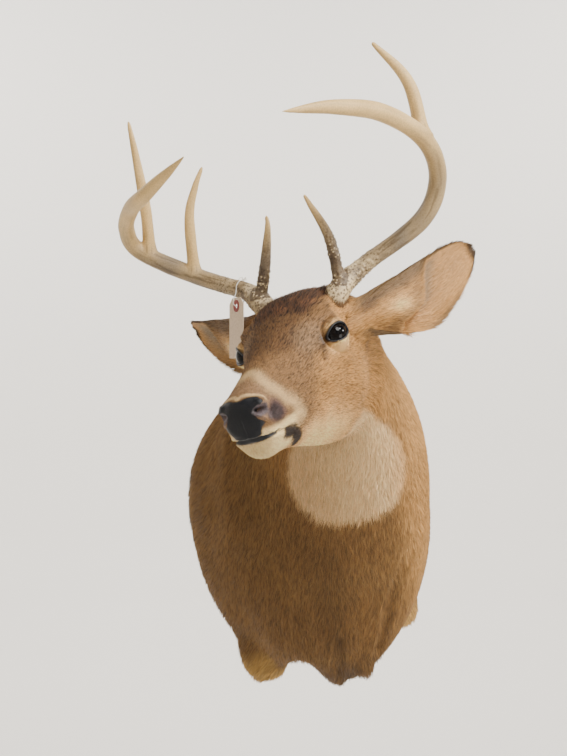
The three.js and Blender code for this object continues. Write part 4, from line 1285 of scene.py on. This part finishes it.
def plywood_material():
    """Sawn plywood: streaks of rotary-cut face grain 17 mm wide and 170 mm long, plies 3 mm thick."""
    material = new_material("Birch plywood, sawn")
    place = node(material, "ShaderNodeTexCoord")
    stretch = node(material, "ShaderNodeMapping", [("Vector", place, "Object")], 
                   Scale=(0.06 / MM, 0.33 / MM, 0.006 / MM))
    grain = node(material, "ShaderNodeTexNoise", [("Vector", stretch, "Vector")], Scale=1.0, Detail=6.0,
                 Distortion=0.6)
    tones = node(material, "ShaderNodeValToRGB", [("Fac", grain, "Fac")],
                 stops=((0.3, linear("#9A7444")), (0.5, linear("#C49E68")), (0.72, linear("#D4B482"))))
    bump = node(material, "ShaderNodeBump", [("Height", grain, "Fac")], Strength=0.3, Distance=0.0005)
    return surface(material, (tones, "Color"), bump, Roughness=0.72)


def steel_material():
    """Zinc-plated sheet steel, with the faint spangle of the plating, 6 mm across."""
    material = new_material("Zinc plated steel, pressed")
    place = node(material, "ShaderNodeTexCoord")
    spangle = node(material, "ShaderNodeTexVoronoi", [("Vector", place, "Object")], Scale=0.16 / MM)
    tones = node(material, "ShaderNodeValToRGB", [("Fac", spangle, "Color")],
                 stops=((0.0, linear("#8B8E92")), (1.0, linear("#B9BCC0"))))
    return surface(material, (tones, "Color"), Metallic=1.0, Roughness=0.38)


def card_material():
    """Manila tag board: calendered paper pulp with a soft handled tone, in clouds of 2.4 mm."""
    material = new_material("Manila tag board")
    place = node(material, "ShaderNodeTexCoord")
    fibres = node(material, "ShaderNodeTexNoise", [("Vector", place, "Object")], Scale=0.42 / MM, Detail=6.0)
    tones = node(material, "ShaderNodeValToRGB", [("Fac", fibres, "Fac")],
                 stops=((0.35, linear("#C9B095")), (0.6, linear("#D6C0A6"))))
    bump = node(material, "ShaderNodeBump", [("Height", fibres, "Fac")], Strength=0.15, Distance=0.0002)
    return surface(material, (tones, "Color"), bump, Roughness=0.7, Specular_IOR_Level=0.3)


def fibre_ring_material():
    """Red vulcanised fibre patch, pressed round the tag's eye: dense and dull, in 1.1 mm mottles."""
    material = new_material("Red fibre patch, pressed")
    place = node(material, "ShaderNodeTexCoord")
    fibres = node(material, "ShaderNodeTexNoise", [("Vector", place, "Object")], Scale=0.9 / MM, Detail=4.0)
    tones = node(material, "ShaderNodeValToRGB", [("Fac", fibres, "Fac")],
                 stops=((0.35, linear("#6E2320")), (0.65, linear("#9A3A32"))))
    return surface(material, (tones, "Color"), Roughness=0.6)


def string_material():
    """White cotton string: two soft plies, with fuzz in tufts of 0.4 mm in the groove between."""
    material = new_material("Cotton string, two ply")
    place = node(material, "ShaderNodeTexCoord")
    fuzz = node(material, "ShaderNodeTexNoise", [("Vector", place, "Object")], Scale=2.5 / MM, Detail=3.0)
    tones = node(material, "ShaderNodeValToRGB", [("Fac", fuzz, "Fac")],
                 stops=((0.3, linear("#CFC8BA")), (0.6, linear("#EFEBE1"))))
    bump = node(material, "ShaderNodeBump", [("Height", fuzz, "Fac")], Strength=0.4, Distance=0.0002)
    return surface(material, (tones, "Color"), bump, Roughness=0.9)


def floor_material():
    """Studio floor: flat pale paint, with no gloss to catch the lamps."""
    material = new_material("Studio floor, painted")
    return surface(material, Base_Color=(*linear("#F2EFEA"), 1), Roughness=0.9, Specular_IOR_Level=0.1)


# ---- pieces -------------------------------------------------------------------------------------
def add_camera(settings):
    """A camera at head height in the room, looking straight at the wall."""
    bpy.ops.object.camera_add(location=(-0.041, -1.86304, 0.230), rotation=(np.pi / 2, 0, 0))
    camera = bpy.context.object
    camera.name = "camera"
    camera.data.sensor_width = 36
    camera.data.lens = settings.lens
    camera.data.clip_start = 0.05
    bpy.context.scene.camera = camera


def rings_round(line, reach, turns):
    """Rings of points round a line, each at its reach from it."""
    _, across, up = carried_frames(line)
    return (line[:, None] + across[:, None] * (reach * np.cos(turns))[..., None]
            + up[:, None] * (reach * np.sin(turns))[..., None])


def rope_rings(line, radius, twist, sides=14):
    """Rings round a line whose outline is two plies that turn as they go."""
    turns = np.linspace(0, 2 * np.pi, sides, endpoint=False)
    phase = run_along(line)[:, None] * 2 * np.pi / twist
    return rings_round(line, radius * (0.68 + 0.34 * np.abs(np.cos(turns[None] - phase))), turns)


def add_string(settings):
    """The closed loop of string round the right beam and through the tag's eye."""
    line = curve_through(STRING_ROUTE, 340)
    points, faces = closed_tube(rope_rings(line, STRING_RADIUS, settings.twist))
    string = new_mesh("string_cotton", points, faces)
    put_material(string, string_material())
    finish_piece(string, "string", "tag_string")


def add_knot(settings):
    """An overhand knot of the same string, with its two cut ends."""
    turns = np.linspace(0, 2 * np.pi, 120, endpoint=False)
    knot = np.stack([np.sin(turns) + 2 * np.sin(2 * turns), np.cos(turns) - 2 * np.cos(2 * turns),
                     -1.3 * np.sin(3 * turns)], -1) * 0.52
    ends = [((0.6, -0.4, 0.6), (2.2, -2.4, 2.6), (3.0, -5.6, 1.2), (3.4, -7.4, -1.6)),
            ((-0.6, 0.2, 0.6), (-2.6, -1.0, 3.0), (-5.0, -2.6, 2.0), (-6.8, -3.6, -0.6))]
    lines = [curve_through(np.vstack([knot, knot[:1]]), 130)] + [curve_through(end, 40) for end in ends]
    made = []
    for line in lines:
        made.append(closed_tube(rope_rings(line + KNOT_AT, 0.55, settings.twist, 10)))
    shift = np.cumsum([0] + [len(points) for points, _ in made[:-1]])
    knot = new_mesh("string_knot", np.vstack([points for points, _ in made]),
                    np.vstack([faces + by for (_, faces), by in zip(made, shift)]))
    put_material(knot, string_material())
    finish_piece(knot, "string", "tag_knot")


def finish_tag():
    """The card and its ring keep their shapes."""
    put_material(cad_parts["tag_card"], card_material())
    put_material(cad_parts["tag_ring"], fibre_ring_material())


def add_board():
    """The board and hanger keep their shapes, and the heads of two screws are added."""
    wood, steel = plywood_material(), steel_material()
    put_material(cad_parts["back_board"], wood)
    put_material(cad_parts["hanger_plate"], steel)
    low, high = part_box("hanger_plate")
    centre = (low + high) / 2
    slope = np.radians(-HANG_TILT)
    for k, apart in enumerate((-0.36, 0.36)):
        bpy.ops.object.select_all(action="DESELECT")
        place = centre + Vector((np.cos(slope), 0, np.sin(slope))) * HANGER_LENGTH * apart
        bpy.ops.mesh.primitive_cylinder_add(vertices=32, radius=0.0032, depth=0.0012,
                                            location=(place.x, high.y + 0.0002, place.z),
                                            rotation=(np.pi / 2, 0, 0))
        screw = bpy.context.object
        screw.name = f"hanger_screw_{k + 1}"
        bpy.ops.object.transform_apply(location=True, rotation=True, scale=True)
        apply_modifier(screw, "BEVEL", width=0.0004, segments=2, limit_method="ANGLE")
        bpy.ops.object.shade_smooth_by_angle()
        put_material(screw, steel)
        finish_piece(screw, "steel")


def tube_object(name, line, radius, sides=28):
    """A closed tube along a line, with a radius at each of its points."""
    turns = np.linspace(0, 2 * np.pi, sides, endpoint=False)
    return new_mesh(name, *closed_tube(rings_round(line, radius[:, None], turns) @ HANG.T))


def antler_relief(points, lines, settings):
    """The height of an antler's grooves and pearls, and what its colours are worked out from: the
    grooves, the pearls, the roughness, the run and its share from the burr, and the kind of line."""
    parts = []
    for _, line, _, name in lines:
        line = line @ HANG.T
        heading, across, up = carried_frames(line)
        steps = run_along(line)
        kinds = np.full(len(line), {"beam": 0, "brow": 1, "tine": 2}[name])
        parts.append((line, np.stack([across, up, heading], 1), steps, steps / steps[-1], kinds))
    samples, axes, run, share, kind = map(np.concatenate, zip(*parts))
    k = nearest(samples, points)
    local = np.einsum("nij,nj->ni", axes[k], points - samples[k])
    run, share, kind = run[k], share[k], kind[k]
    stretched = np.stack([local[:, 0], local[:, 1], run / 9], -1)
    beam = kind == 0
    on_tine = np.where(kind == 1, ease(share, 1.0, 0.2), ease(share, 0.5, 0.0) * 0.5)
    rough = np.where(beam, ease(run, 360, 60), on_tine)
    grooves = noise(stretched, 3.4, 2) * 0.6 + noise(stretched, 1.7, 3) * 0.4
    pearls = np.where(beam, ease(run, 135, 60), np.where(kind == 1, ease(share, 0.7, 0.3), 0))
    pearls = pearls * ease(noise(points, 22, 4), -0.7, 0.1)
    beads = ease(pebbles(points, 4.0, 9), 0.55, 0.1)
    relief = settings.groove * grooves * (0.25 + rough) + settings.pearl * beads * pearls
    return relief, grooves, beads * pearls, rough, run, share, kind


def antler_colours(points, edges, grooves, beads, rough, run, share, kind, settings):
    """Ivory tips, a grey lower beam, brown grooves and specks, and chalky pearls and base."""
    beam = kind == 0
    pale = np.ones((len(points), 3)) * settings.ivory
    worn = ease(noise(points, 30, 12), -0.5, 0.7)
    pale = mix(pale, settings.ivory_shade, 0.5 * worn)
    grey = np.where(beam, ease(run, 360, 150), np.where(kind == 1, ease(share, 1.0, 0.4), 0))
    grey = relax(grey[:, None], edges, np.full(len(grey), 0.9), 90)[:, 0]
    colours = mix(pale, settings.grey, grey * (0.85 + 0.25 * noise(points, (18, 18, 40), 16)))
    colours = mix(colours, settings.dark, ease(-grooves, 0.05, 0.5) * (0.12 + 0.55 * rough))
    low = np.where(beam, ease(run, 150, 80), 0.9 * (kind == 1) * ease(share, 0.9, 0.4))
    colours = mix(colours, settings.dark, low * ease(noise(points, 9, 14), 0.1, 0.7) * 0.5)
    colours = mix(colours, settings.dark, 0.6 * (kind == 1) * ease(share, 0.95, 0.3))
    base = np.where(beam, ease(run, 105, 70), 0)
    colours = mix(colours, settings.chalk, base * ease(noise(points, 14, 15), -0.5, 0.3) * 0.85)
    specks = ease(pebbles(points, 3.2, 31), 0.45, 0.28)
    colours = mix(colours, settings.dark, specks * np.maximum(base * 0.9, low * 0.8))
    return mix(colours, settings.chalk, ease(beads, 0.35, 0.9) * 0.85)


def add_antler(name, settings, material):
    """Beam and tines as tubes, remeshed to one body, smoothed at the forks and given their relief."""
    lines = [entry for entry in antler_lines() if entry[0] == name]
    tubes = [tube_object(f"antler_{name}", line, radius) for _, line, radius, _ in lines]
    bpy.ops.object.select_all(action="DESELECT")
    for tube in tubes:
        tube.select_set(True)
    bpy.context.view_layer.objects.active = tubes[0]
    bpy.ops.object.join()
    antler = bpy.context.object
    apply_modifier(antler, "REMESH", mode="VOXEL", voxel_size=settings.voxel * MM, use_smooth_shade=True)
    edges = edges_of(antler)
    points = relax(points_of(antler), edges, np.full(len(antler.data.vertices), 0.5), 8)
    move_points(antler, points)
    relief, *rest = antler_relief(points, lines, settings)
    move_points(antler, points + normals_of(antler) * relief[:, None])
    paint(antler, "Bone", antler_colours(points, edges, *rest, settings).clip(0.005, 0.9))
    put_material(antler, material)
    finish_piece(antler, "antler", *[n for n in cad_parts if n.startswith(f"antler_{name}_")])


def add_eye(side, settings, material):
    """A glass ball turned to the gaze, with a long pupil that lies along the lids."""
    middle, gaze, _, _ = eye_frame(side)
    to_plumb = HANG @ HEAD
    place = HANG @ from_head(middle) * MM
    facing = Vector(to_plumb @ gaze).to_track_quat("Z", "Y").to_euler()
    bpy.ops.object.select_all(action="DESELECT")
    bpy.ops.mesh.primitive_uv_sphere_add(segments=96, ring_count=64, radius=EYE_RADIUS * MM,
                                         location=tuple(place), rotation=tuple(facing))
    eye = bpy.context.object
    eye.name = "glass_eye_left" if side > 0 else "glass_eye_right"
    bpy.ops.object.transform_apply(location=True, rotation=True, scale=True)
    bpy.ops.object.shade_smooth()
    p, q, _ = from_eye(to_head(points_of(eye) @ HANG), side)
    colours = np.ones((len(p), 3)) * settings.iris
    colours = mix(colours, settings.limbus, ease(np.hypot(p, q), 9.5, 12.0))
    pupil = np.hypot(p / 7.6, q / 4.6)
    colours = mix(colours, settings.pupil, ease(pupil, 1.06, 0.94))
    paint(eye, "Iris", colours)
    put_material(eye, material)
    finish_piece(eye, "eye", "eye_left" if side > 0 else "eye_right")


def skin_sources(palette):
    """Points of the skin's own sheets with their colour, their kind (0 hide, 1 nose, 2 bare skin)
    and their sheet (0 body, 1 ear, 2 lid)."""
    grid = body_grid()
    colours = body_markings(grid["outer"], grid["run"], grid["turns"], palette)[0] * UNDERCOAT
    head = to_head(grid["outer"])
    pad = nose_pad(head)
    hole = line_distance(head, NOSTRIL)
    rim = line_distance(head, NOSTRIL_RIM)
    lip = line_distance(head, LIP_LINE)
    colours = mix(colours, palette.nose, pad)
    bare = around_point(head, (27, -173, -54), (10, 9, 9))
    colours = mix(colours, palette.rim, ease(rim, 2.4, 1.2) * ease(head[..., 1], -190, -186))
    colours = mix(colours, palette.rim, ease(hole, 5.2, 4.2) * ease(head[..., 2], -45, -48))
    colours = mix(colours, palette.hole, ease(hole, 4.2, 2.6))
    lip_width = np.interp(head[..., 1], [-180, -172, -160, -140, -110], [2.2, 2.0, 1.2, 1.6, 2.0])
    lip_shade = np.interp(head[..., 1], [-172, -160, -148, -140], [1.0, 0.6, 0.6, 1.0])
    colours = mix(colours, palette.nose, ease(lip, lip_width + 0.5, lip_width - 0.5) * lip_shade)
    lower = lower_lip(head)
    colours = mix(colours, palette.nose, lower)
    kind = np.where(pad > 0.5, 1, 0)
    kind = np.where((hole < 4.5) | (rim < 2.2) | (lip < lip_width) | (lower > 0.5) | (bare > 0.5), 2, kind)
    points = [grid["skin"].reshape(-1, 3)]
    colour = [colours.reshape(-1, 3)]
    kinds, sheets = [kind.ravel()], [np.zeros(kind.size, int)]
    for side in (1, -1):
        for inner in (True, False):
            sheet, u, v = ear_grid(side, EAR_HOLLOW if inner else EAR_BACK, folded=inner)
            points.append(sheet.reshape(-1, 3))
            colour.append(ear_markings(u, v, side, inner, palette).reshape(-1, 3) * UNDERCOAT)
            kinds.append(np.zeros(u.size, int))
            sheets.append(np.ones(u.size, int))
        lids = lid_rings(side)
        height = from_eye(to_head(lids), side)[1]
        tone = mix(np.ones(lids.shape) * palette.lid_grey, palette.nose, 0.6 + 0.4 * ease(height, -6.5, -2))
        tone = mix(tone, palette.nose, np.array([1, 1, 1, 0.9, 0.6, 0, 0, 0])[:, None] + 0 * height)
        tone[5:] = np.array(palette.eye_ring) * 0.4
        points.append(lids.reshape(-1, 3))
        colour.append(tone.reshape(-1, 3))
        kinds.append(np.repeat([2, 2, 2, 2, 2, 0, 0, 0], tone.shape[1]))
        sheets.append(np.full(len(kinds[-1]), 2))
    return np.vstack(points), np.vstack(colour), np.concatenate(kinds), np.concatenate(sheets)


def add_skin(palette):
    """Body, ears and lids joined to one skin, painted and given the finish of each part."""
    skin = new_mesh("skin", *closed_tube(body_rings()))
    extras = [new_mesh("ear", *closed_tube(ear_rings(side))) for side in (1, -1)]
    extras += [new_mesh("lids", *closed_band(lid_rings(side))) for side in (1, -1)]
    for extra in extras:
        apply_modifier(skin, "BOOLEAN", operation="UNION", solver="MANIFOLD", object=extra)
        bpy.data.objects.remove(extra)
    points = points_of(skin)
    sources, colours, kinds, sheets = skin_sources(palette)
    k, edges = nearest(sources, points), edges_of(skin)
    # Where an ear meets the head, the crease between them is filled to a soft hollow.
    meeting = (sheets[k][edges] == (0, 1)).all(1) | (sheets[k][edges] == (1, 0)).all(1)
    seam = points[np.unique(edges[meeting])]
    apart = np.linalg.norm(points - seam[nearest(seam, points)], axis=1)
    fill_hollows(skin, 0.8 * ease(apart, 42, 12), 40)
    points = relax(points_of(skin), edges, 0.5 * ease(apart, 30, 10), 6)
    colours = relax(colours[k], edges, 0.8 * ease(apart, 24, 6), 80)
    move_points(skin, points @ HANG.T)
    paint(skin, "Hide", colours.clip(0.002, 0.9))
    put_material(skin, hide_material(), nose_material(), bare_skin_material())
    starts = read(skin.data.polygons, "loop_start", 1, np.int32)[:, 0]
    loops = read(skin.data.loops, "vertex_index", 1, np.int32)[:, 0]
    skin.data.polygons.foreach_set("material_index", kinds[k][loops[starts]].astype(np.int32))
    skin.data.polygons.foreach_set("use_smooth", np.ones(len(starts), bool))
    skin.data.update()
    finish_piece(skin, "coat", *FLESH_NODES)


def add_stage(settings):
    """A pale floor whose edge turns up into a backdrop all round, and soft lamps."""
    radius = np.array([0.001, 1, 2, 3, 4, 4.6, 5.0, 5.3, 5.45, 5.5, 5.5, 5.5]) / MM
    height = np.array([0, 0, 0, 0, 0, 0.07, 0.25, 0.6, 1.1, 1.8, 3.2, 5.0]) / MM + settings.floor_level / MM
    turns = np.linspace(0, 2 * np.pi, FLOOR_SIDES, endpoint=False)
    rings = np.stack([radius[:, None] * np.cos(turns), radius[:, None] * np.sin(turns) - 400,
                      height[:, None] + 0 * turns], -1)
    faces = ring_quads(len(radius), FLOOR_SIDES, len(radius) - 1)
    floor = new_mesh("floor", rings.reshape(-1, 3), faces)
    put_material(floor, floor_material())
    aim, backdrop = Vector((0.0, -0.35, 0.1)), Vector((0.0, 5.0, 0.4))
    lamps = (("lamp_key", (1.1, -2.0, 1.9), 1.3, settings.key, aim),
             ("lamp_high", (1.53, -1.25, 1.74), 0.3, settings.side, aim),
             ("lamp_side", (2.1, -0.6, 1.13), 0.3, settings.side, aim),
             ("lamp_low", (1.6, -1.5, -0.25), 1.0, settings.low, aim),
             ("lamp_fill", (-1.9, -2.0, 0.9), 1.8, settings.fill, aim),
             ("lamp_top", (0.1, -1.0, 2.9), 2.0, settings.top, aim),
             ("lamp_back_left", (-2.2, 2.2, 2.6), 1.5, settings.back, backdrop),
             ("lamp_back_right", (2.2, 2.2, 2.6), 1.5, settings.back, backdrop))
    for name, place, size, power, target in lamps:
        bpy.ops.object.light_add(type="AREA", location=place)
        lamp = bpy.context.object
        lamp.name = name
        lamp.data.shape = "DISK"
        lamp.data.size = size
        lamp.data.energy = power
        lamp.data.color = (1.0, 0.975, 0.94)
        lamp.rotation_euler = (target - Vector(place)).to_track_quat("-Z", "Y").to_euler()
    world = bpy.data.worlds.new("studio")
    world.use_nodes = True
    background = world.node_tree.nodes["Background"]
    background.inputs["Color"].default_value = (*linear("#EFEDE9"), 1)
    background.inputs["Strength"].default_value = settings.world
    bpy.context.scene.world = world


# ---- add-on: settings ---------------------------------------------------------------------------
def colour_property(name, description, hex_colour):
    return FloatVectorProperty(name=name, description=description, default=linear(hex_colour),
                               subtype="COLOR", size=3, min=0.0, max=1.0)


def mm_property(name, description, default, low, high):
    return FloatProperty(name=name, description=description + ", in mm", default=default, min=low, max=high)


def power_property(name, description, watts):
    return FloatProperty(name=name, description=description, default=watts, min=0.0, unit="POWER")


class MountColours(bpy.types.PropertyGroup):
    body: colour_property("Body", "Hair of the neck and shoulders", "#815F36")
    body_light: colour_property("Body light", "Paler hair among it", "#9D7949")
    flank: colour_property("Flank", "Left edge of the neck", "#C69459")
    face: colour_property("Face", "Grizzled hair of the face", "#7D5C39")
    cheek: colour_property("Cheek", "Hair under the eye and over the jaw", "#B6864D")
    jaw: colour_property("Jaw", "Hair of the lower jaw", "#FCC888")
    bridge: colour_property("Bridge", "Forehead and top of the muzzle", "#604428")
    brow_grey: colour_property("Brow grey", "Greyer hair before the brow", "#A08C72")
    crown: colour_property("Crown", "Hair between the antlers", "#442D1C")
    rust: colour_property("Rust", "Rusty hair of the crown", "#7C5030")
    muzzle: colour_property("Muzzle", "Hair behind the nose pad", "#8A6A4A")
    cream: colour_property("Cream", "Muzzle band and lips", "#F8D398")
    eye_ring: colour_property("Eye ring", "Pale hair over and under the eye", "#FFCD8A")
    throat: colour_property("Throat", "Throat patch", "#E4BB88")
    stub: colour_property("Stub", "Inner side of the forelegs", "#BB9352")
    dusky: colour_property("Dusky", "Thin-haired skin beside the nostril", "#6A5048")
    purple: colour_property("Purple", "Darkest part of that skin", "#382A29")
    rim: colour_property("Nostril rim", "Rim of the nostril", "#5C5052")
    corner: colour_property("Mouth corner", "Dark patch at the mouth's corner", "#2B1F17")
    lid_grey: colour_property("Lid", "Bare edge of the lower lid", "#5C5654")
    nose: colour_property("Nose", "Nose pad and lips", "#0A0C12")
    hole: colour_property("Nostril", "Inside of the nostril", "#140B0B")
    ear_inner: colour_property("Ear inside", "Hair inside the ear", "#DAA567")
    # Also painted just beyond the ear's fold as the fold's shadow.
    ear_grey_and_fold_shadow: colour_property("Ear middle", "Thin hair in the middle of the ear", "#A08C72")
    ear_outer: colour_property("Ear back", "Hair on the ear's back", "#785E40")
    ear_rim: colour_property("Ear rim", "Dark rim of the ear", "#2B211A")


class MountCoat(bpy.types.PropertyGroup):
    length: FloatProperty(name="Length", description="Length of the tufts, as a share of the usual",
                          default=1.0, min=0.3, max=2.0, subtype="FACTOR")
    density: FloatProperty(name="Density", description="Number of tufts, as a share of the usual",
                           default=1.0, min=0.05, max=1.2, subtype="FACTOR")
    seed: IntProperty(name="Seed", description="Start of the random numbers", default=11, min=0)


class MountAntlers(bpy.types.PropertyGroup):
    voxel: mm_property("Voxel", "Size of the antler mesh's faces", 1.25, 0.8, 4.0)
    groove: mm_property("Groove", "Depth of the lengthwise grooves", 0.7, 0.0, 2.0)
    pearl: mm_property("Pearl", "Height of the pearling", 1.5, 0.0, 4.0)
    ivory: colour_property("Ivory", "Rubbed bone of the tips", "#E0BC7D")
    ivory_shade: colour_property("Ivory shade", "Duller patches of it", "#C4A065")
    grey: colour_property("Grey", "Weathered lower beam", "#857660")
    dark: colour_property("Dark", "Grooves and specks", "#43301F")
    chalk: colour_property("Chalk", "Pearls and base", "#E6CD9F")


class MountEyes(bpy.types.PropertyGroup):
    iris: colour_property("Iris", "Iris", "#120C09")
    limbus: colour_property("Limbus", "Dark ring round the iris", "#08080A")
    pupil: colour_property("Pupil", "Pupil", "#040406")


class MountTag(bpy.types.PropertyGroup):
    twist: mm_property("Twist", "Length of one turn of the string's plies", 4.2, 2.0, 12.0)


class MountStage(bpy.types.PropertyGroup):
    lens: FloatProperty(name="Lens", description="Focal length on a 36 mm sensor", default=1110 / 756 * 36,
                        min=20.0, max=120.0, subtype="DISTANCE_CAMERA", unit="CAMERA")
    floor_level: FloatProperty(name="Floor", description="Height of the floor", default=-1.25, unit="LENGTH")
    key: power_property("Key", "Power of the large lamp in front on the right", 70.0)
    side: power_property("Side", "Power of each small lamp on the right", 17.0)
    low: power_property("Low", "Power of the low lamp on the right", 13.0)
    fill: power_property("Fill", "Power of the lamp on the left", 5.0)
    top: power_property("Top", "Power of the overhead lamp", 26.0)
    back: power_property("Back", "Power of each lamp on the backdrop", 150.0)
    world: FloatProperty(name="World", description="Strength of the light all round", default=0.32, min=0.0)


# ---- add-on: operators --------------------------------------------------------------------------
class MOUNT_OT_camera(bpy.types.Operator):
    """Place the camera in front of the mount"""
    bl_idname = "mount.camera"
    bl_label = "Camera"

    def execute(self, context):
        add_camera(context.scene.mount_stage)
        return {"FINISHED"}


class MOUNT_OT_tag(bpy.types.Operator):
    """Tie the card tag to the right antler with its string"""
    bl_idname = "mount.tag"
    bl_label = "Tag and string"

    def execute(self, context):
        add_knot(context.scene.mount_tag)
        add_string(context.scene.mount_tag)
        finish_tag()
        return {"FINISHED"}


class MOUNT_OT_board(bpy.types.Operator):
    """Finish the back board and its hanger"""
    bl_idname = "mount.board"
    bl_label = "Back board"

    def execute(self, context):
        add_board()
        return {"FINISHED"}


class MOUNT_OT_antlers(bpy.types.Operator):
    """Build both antlers with their pearling and grooves"""
    bl_idname = "mount.antlers"
    bl_label = "Antlers"

    def execute(self, context):
        material = antler_material()
        for name in ANTLERS:
            add_antler(name, context.scene.mount_antlers, material)
        return {"FINISHED"}


class MOUNT_OT_eyes(bpy.types.Operator):
    """Set both glass eyes"""
    bl_idname = "mount.eyes"
    bl_label = "Eyes"

    def execute(self, context):
        material = eye_material()
        for side in (1, -1):
            add_eye(side, context.scene.mount_eyes, material)
        return {"FINISHED"}


class MOUNT_OT_skin(bpy.types.Operator):
    """Build the one skin of head, ears, neck and shoulders"""
    bl_idname = "mount.skin"
    bl_label = "Skin"

    def execute(self, context):
        add_skin(context.scene.mount_colours)
        return {"FINISHED"}


class MOUNT_OT_coat(bpy.types.Operator):
    """Grow the coat over the skin"""
    bl_idname = "mount.coat"
    bl_label = "Coat"

    def execute(self, context):
        coat_fields.cache_clear()
        material, tree = hair_material(), skin_tree()
        add_body_coat(material, tree)
        add_collars(material, tree)
        for side in (1, -1):
            add_ear_coat(side, material, tree)
        return {"FINISHED"}


class MOUNT_OT_stage(bpy.types.Operator):
    """Lay the floor and hang the lamps"""
    bl_idname = "mount.stage"
    bl_label = "Stage"

    def execute(self, context):
        add_stage(context.scene.mount_stage)
        return {"FINISHED"}


OPERATORS = (MOUNT_OT_camera, MOUNT_OT_tag, MOUNT_OT_board, MOUNT_OT_antlers, MOUNT_OT_eyes,
             MOUNT_OT_skin, MOUNT_OT_coat, MOUNT_OT_stage)


class MOUNT_PT_panel(bpy.types.Panel):
    """The mount's pieces, in the order in which they are made"""
    bl_idname = "MOUNT_PT_panel"
    bl_label = "Shoulder mount"
    bl_space_type = "VIEW_3D"
    bl_region_type = "UI"
    bl_category = "Mount"

    def draw(self, context):
        for operator in OPERATORS:
            self.layout.operator(operator.bl_idname)


SETTINGS = {"mount_colours": MountColours, "mount_coat": MountCoat, "mount_antlers": MountAntlers,
            "mount_eyes": MountEyes, "mount_tag": MountTag, "mount_stage": MountStage}


def register():
    for cls in (*SETTINGS.values(), *OPERATORS, MOUNT_PT_panel):
        bpy.utils.register_class(cls)
    for name, cls in SETTINGS.items():
        setattr(bpy.types.Scene, name, PointerProperty(type=cls))


def unregister():
    for name in SETTINGS:
        delattr(bpy.types.Scene, name)
    for cls in (MOUNT_PT_panel, *reversed(OPERATORS), *SETTINGS.values()):
        bpy.utils.unregister_class(cls)


def main():
    register()
    bpy.ops.mount.camera()
    bpy.ops.mount.tag()
    bpy.ops.mount.board()
    bpy.ops.mount.antlers()
    bpy.ops.mount.eyes()
    bpy.ops.mount.skin()
    bpy.ops.mount.coat()
    bpy.ops.mount.stage()


if __name__ == "__main__":
    main()
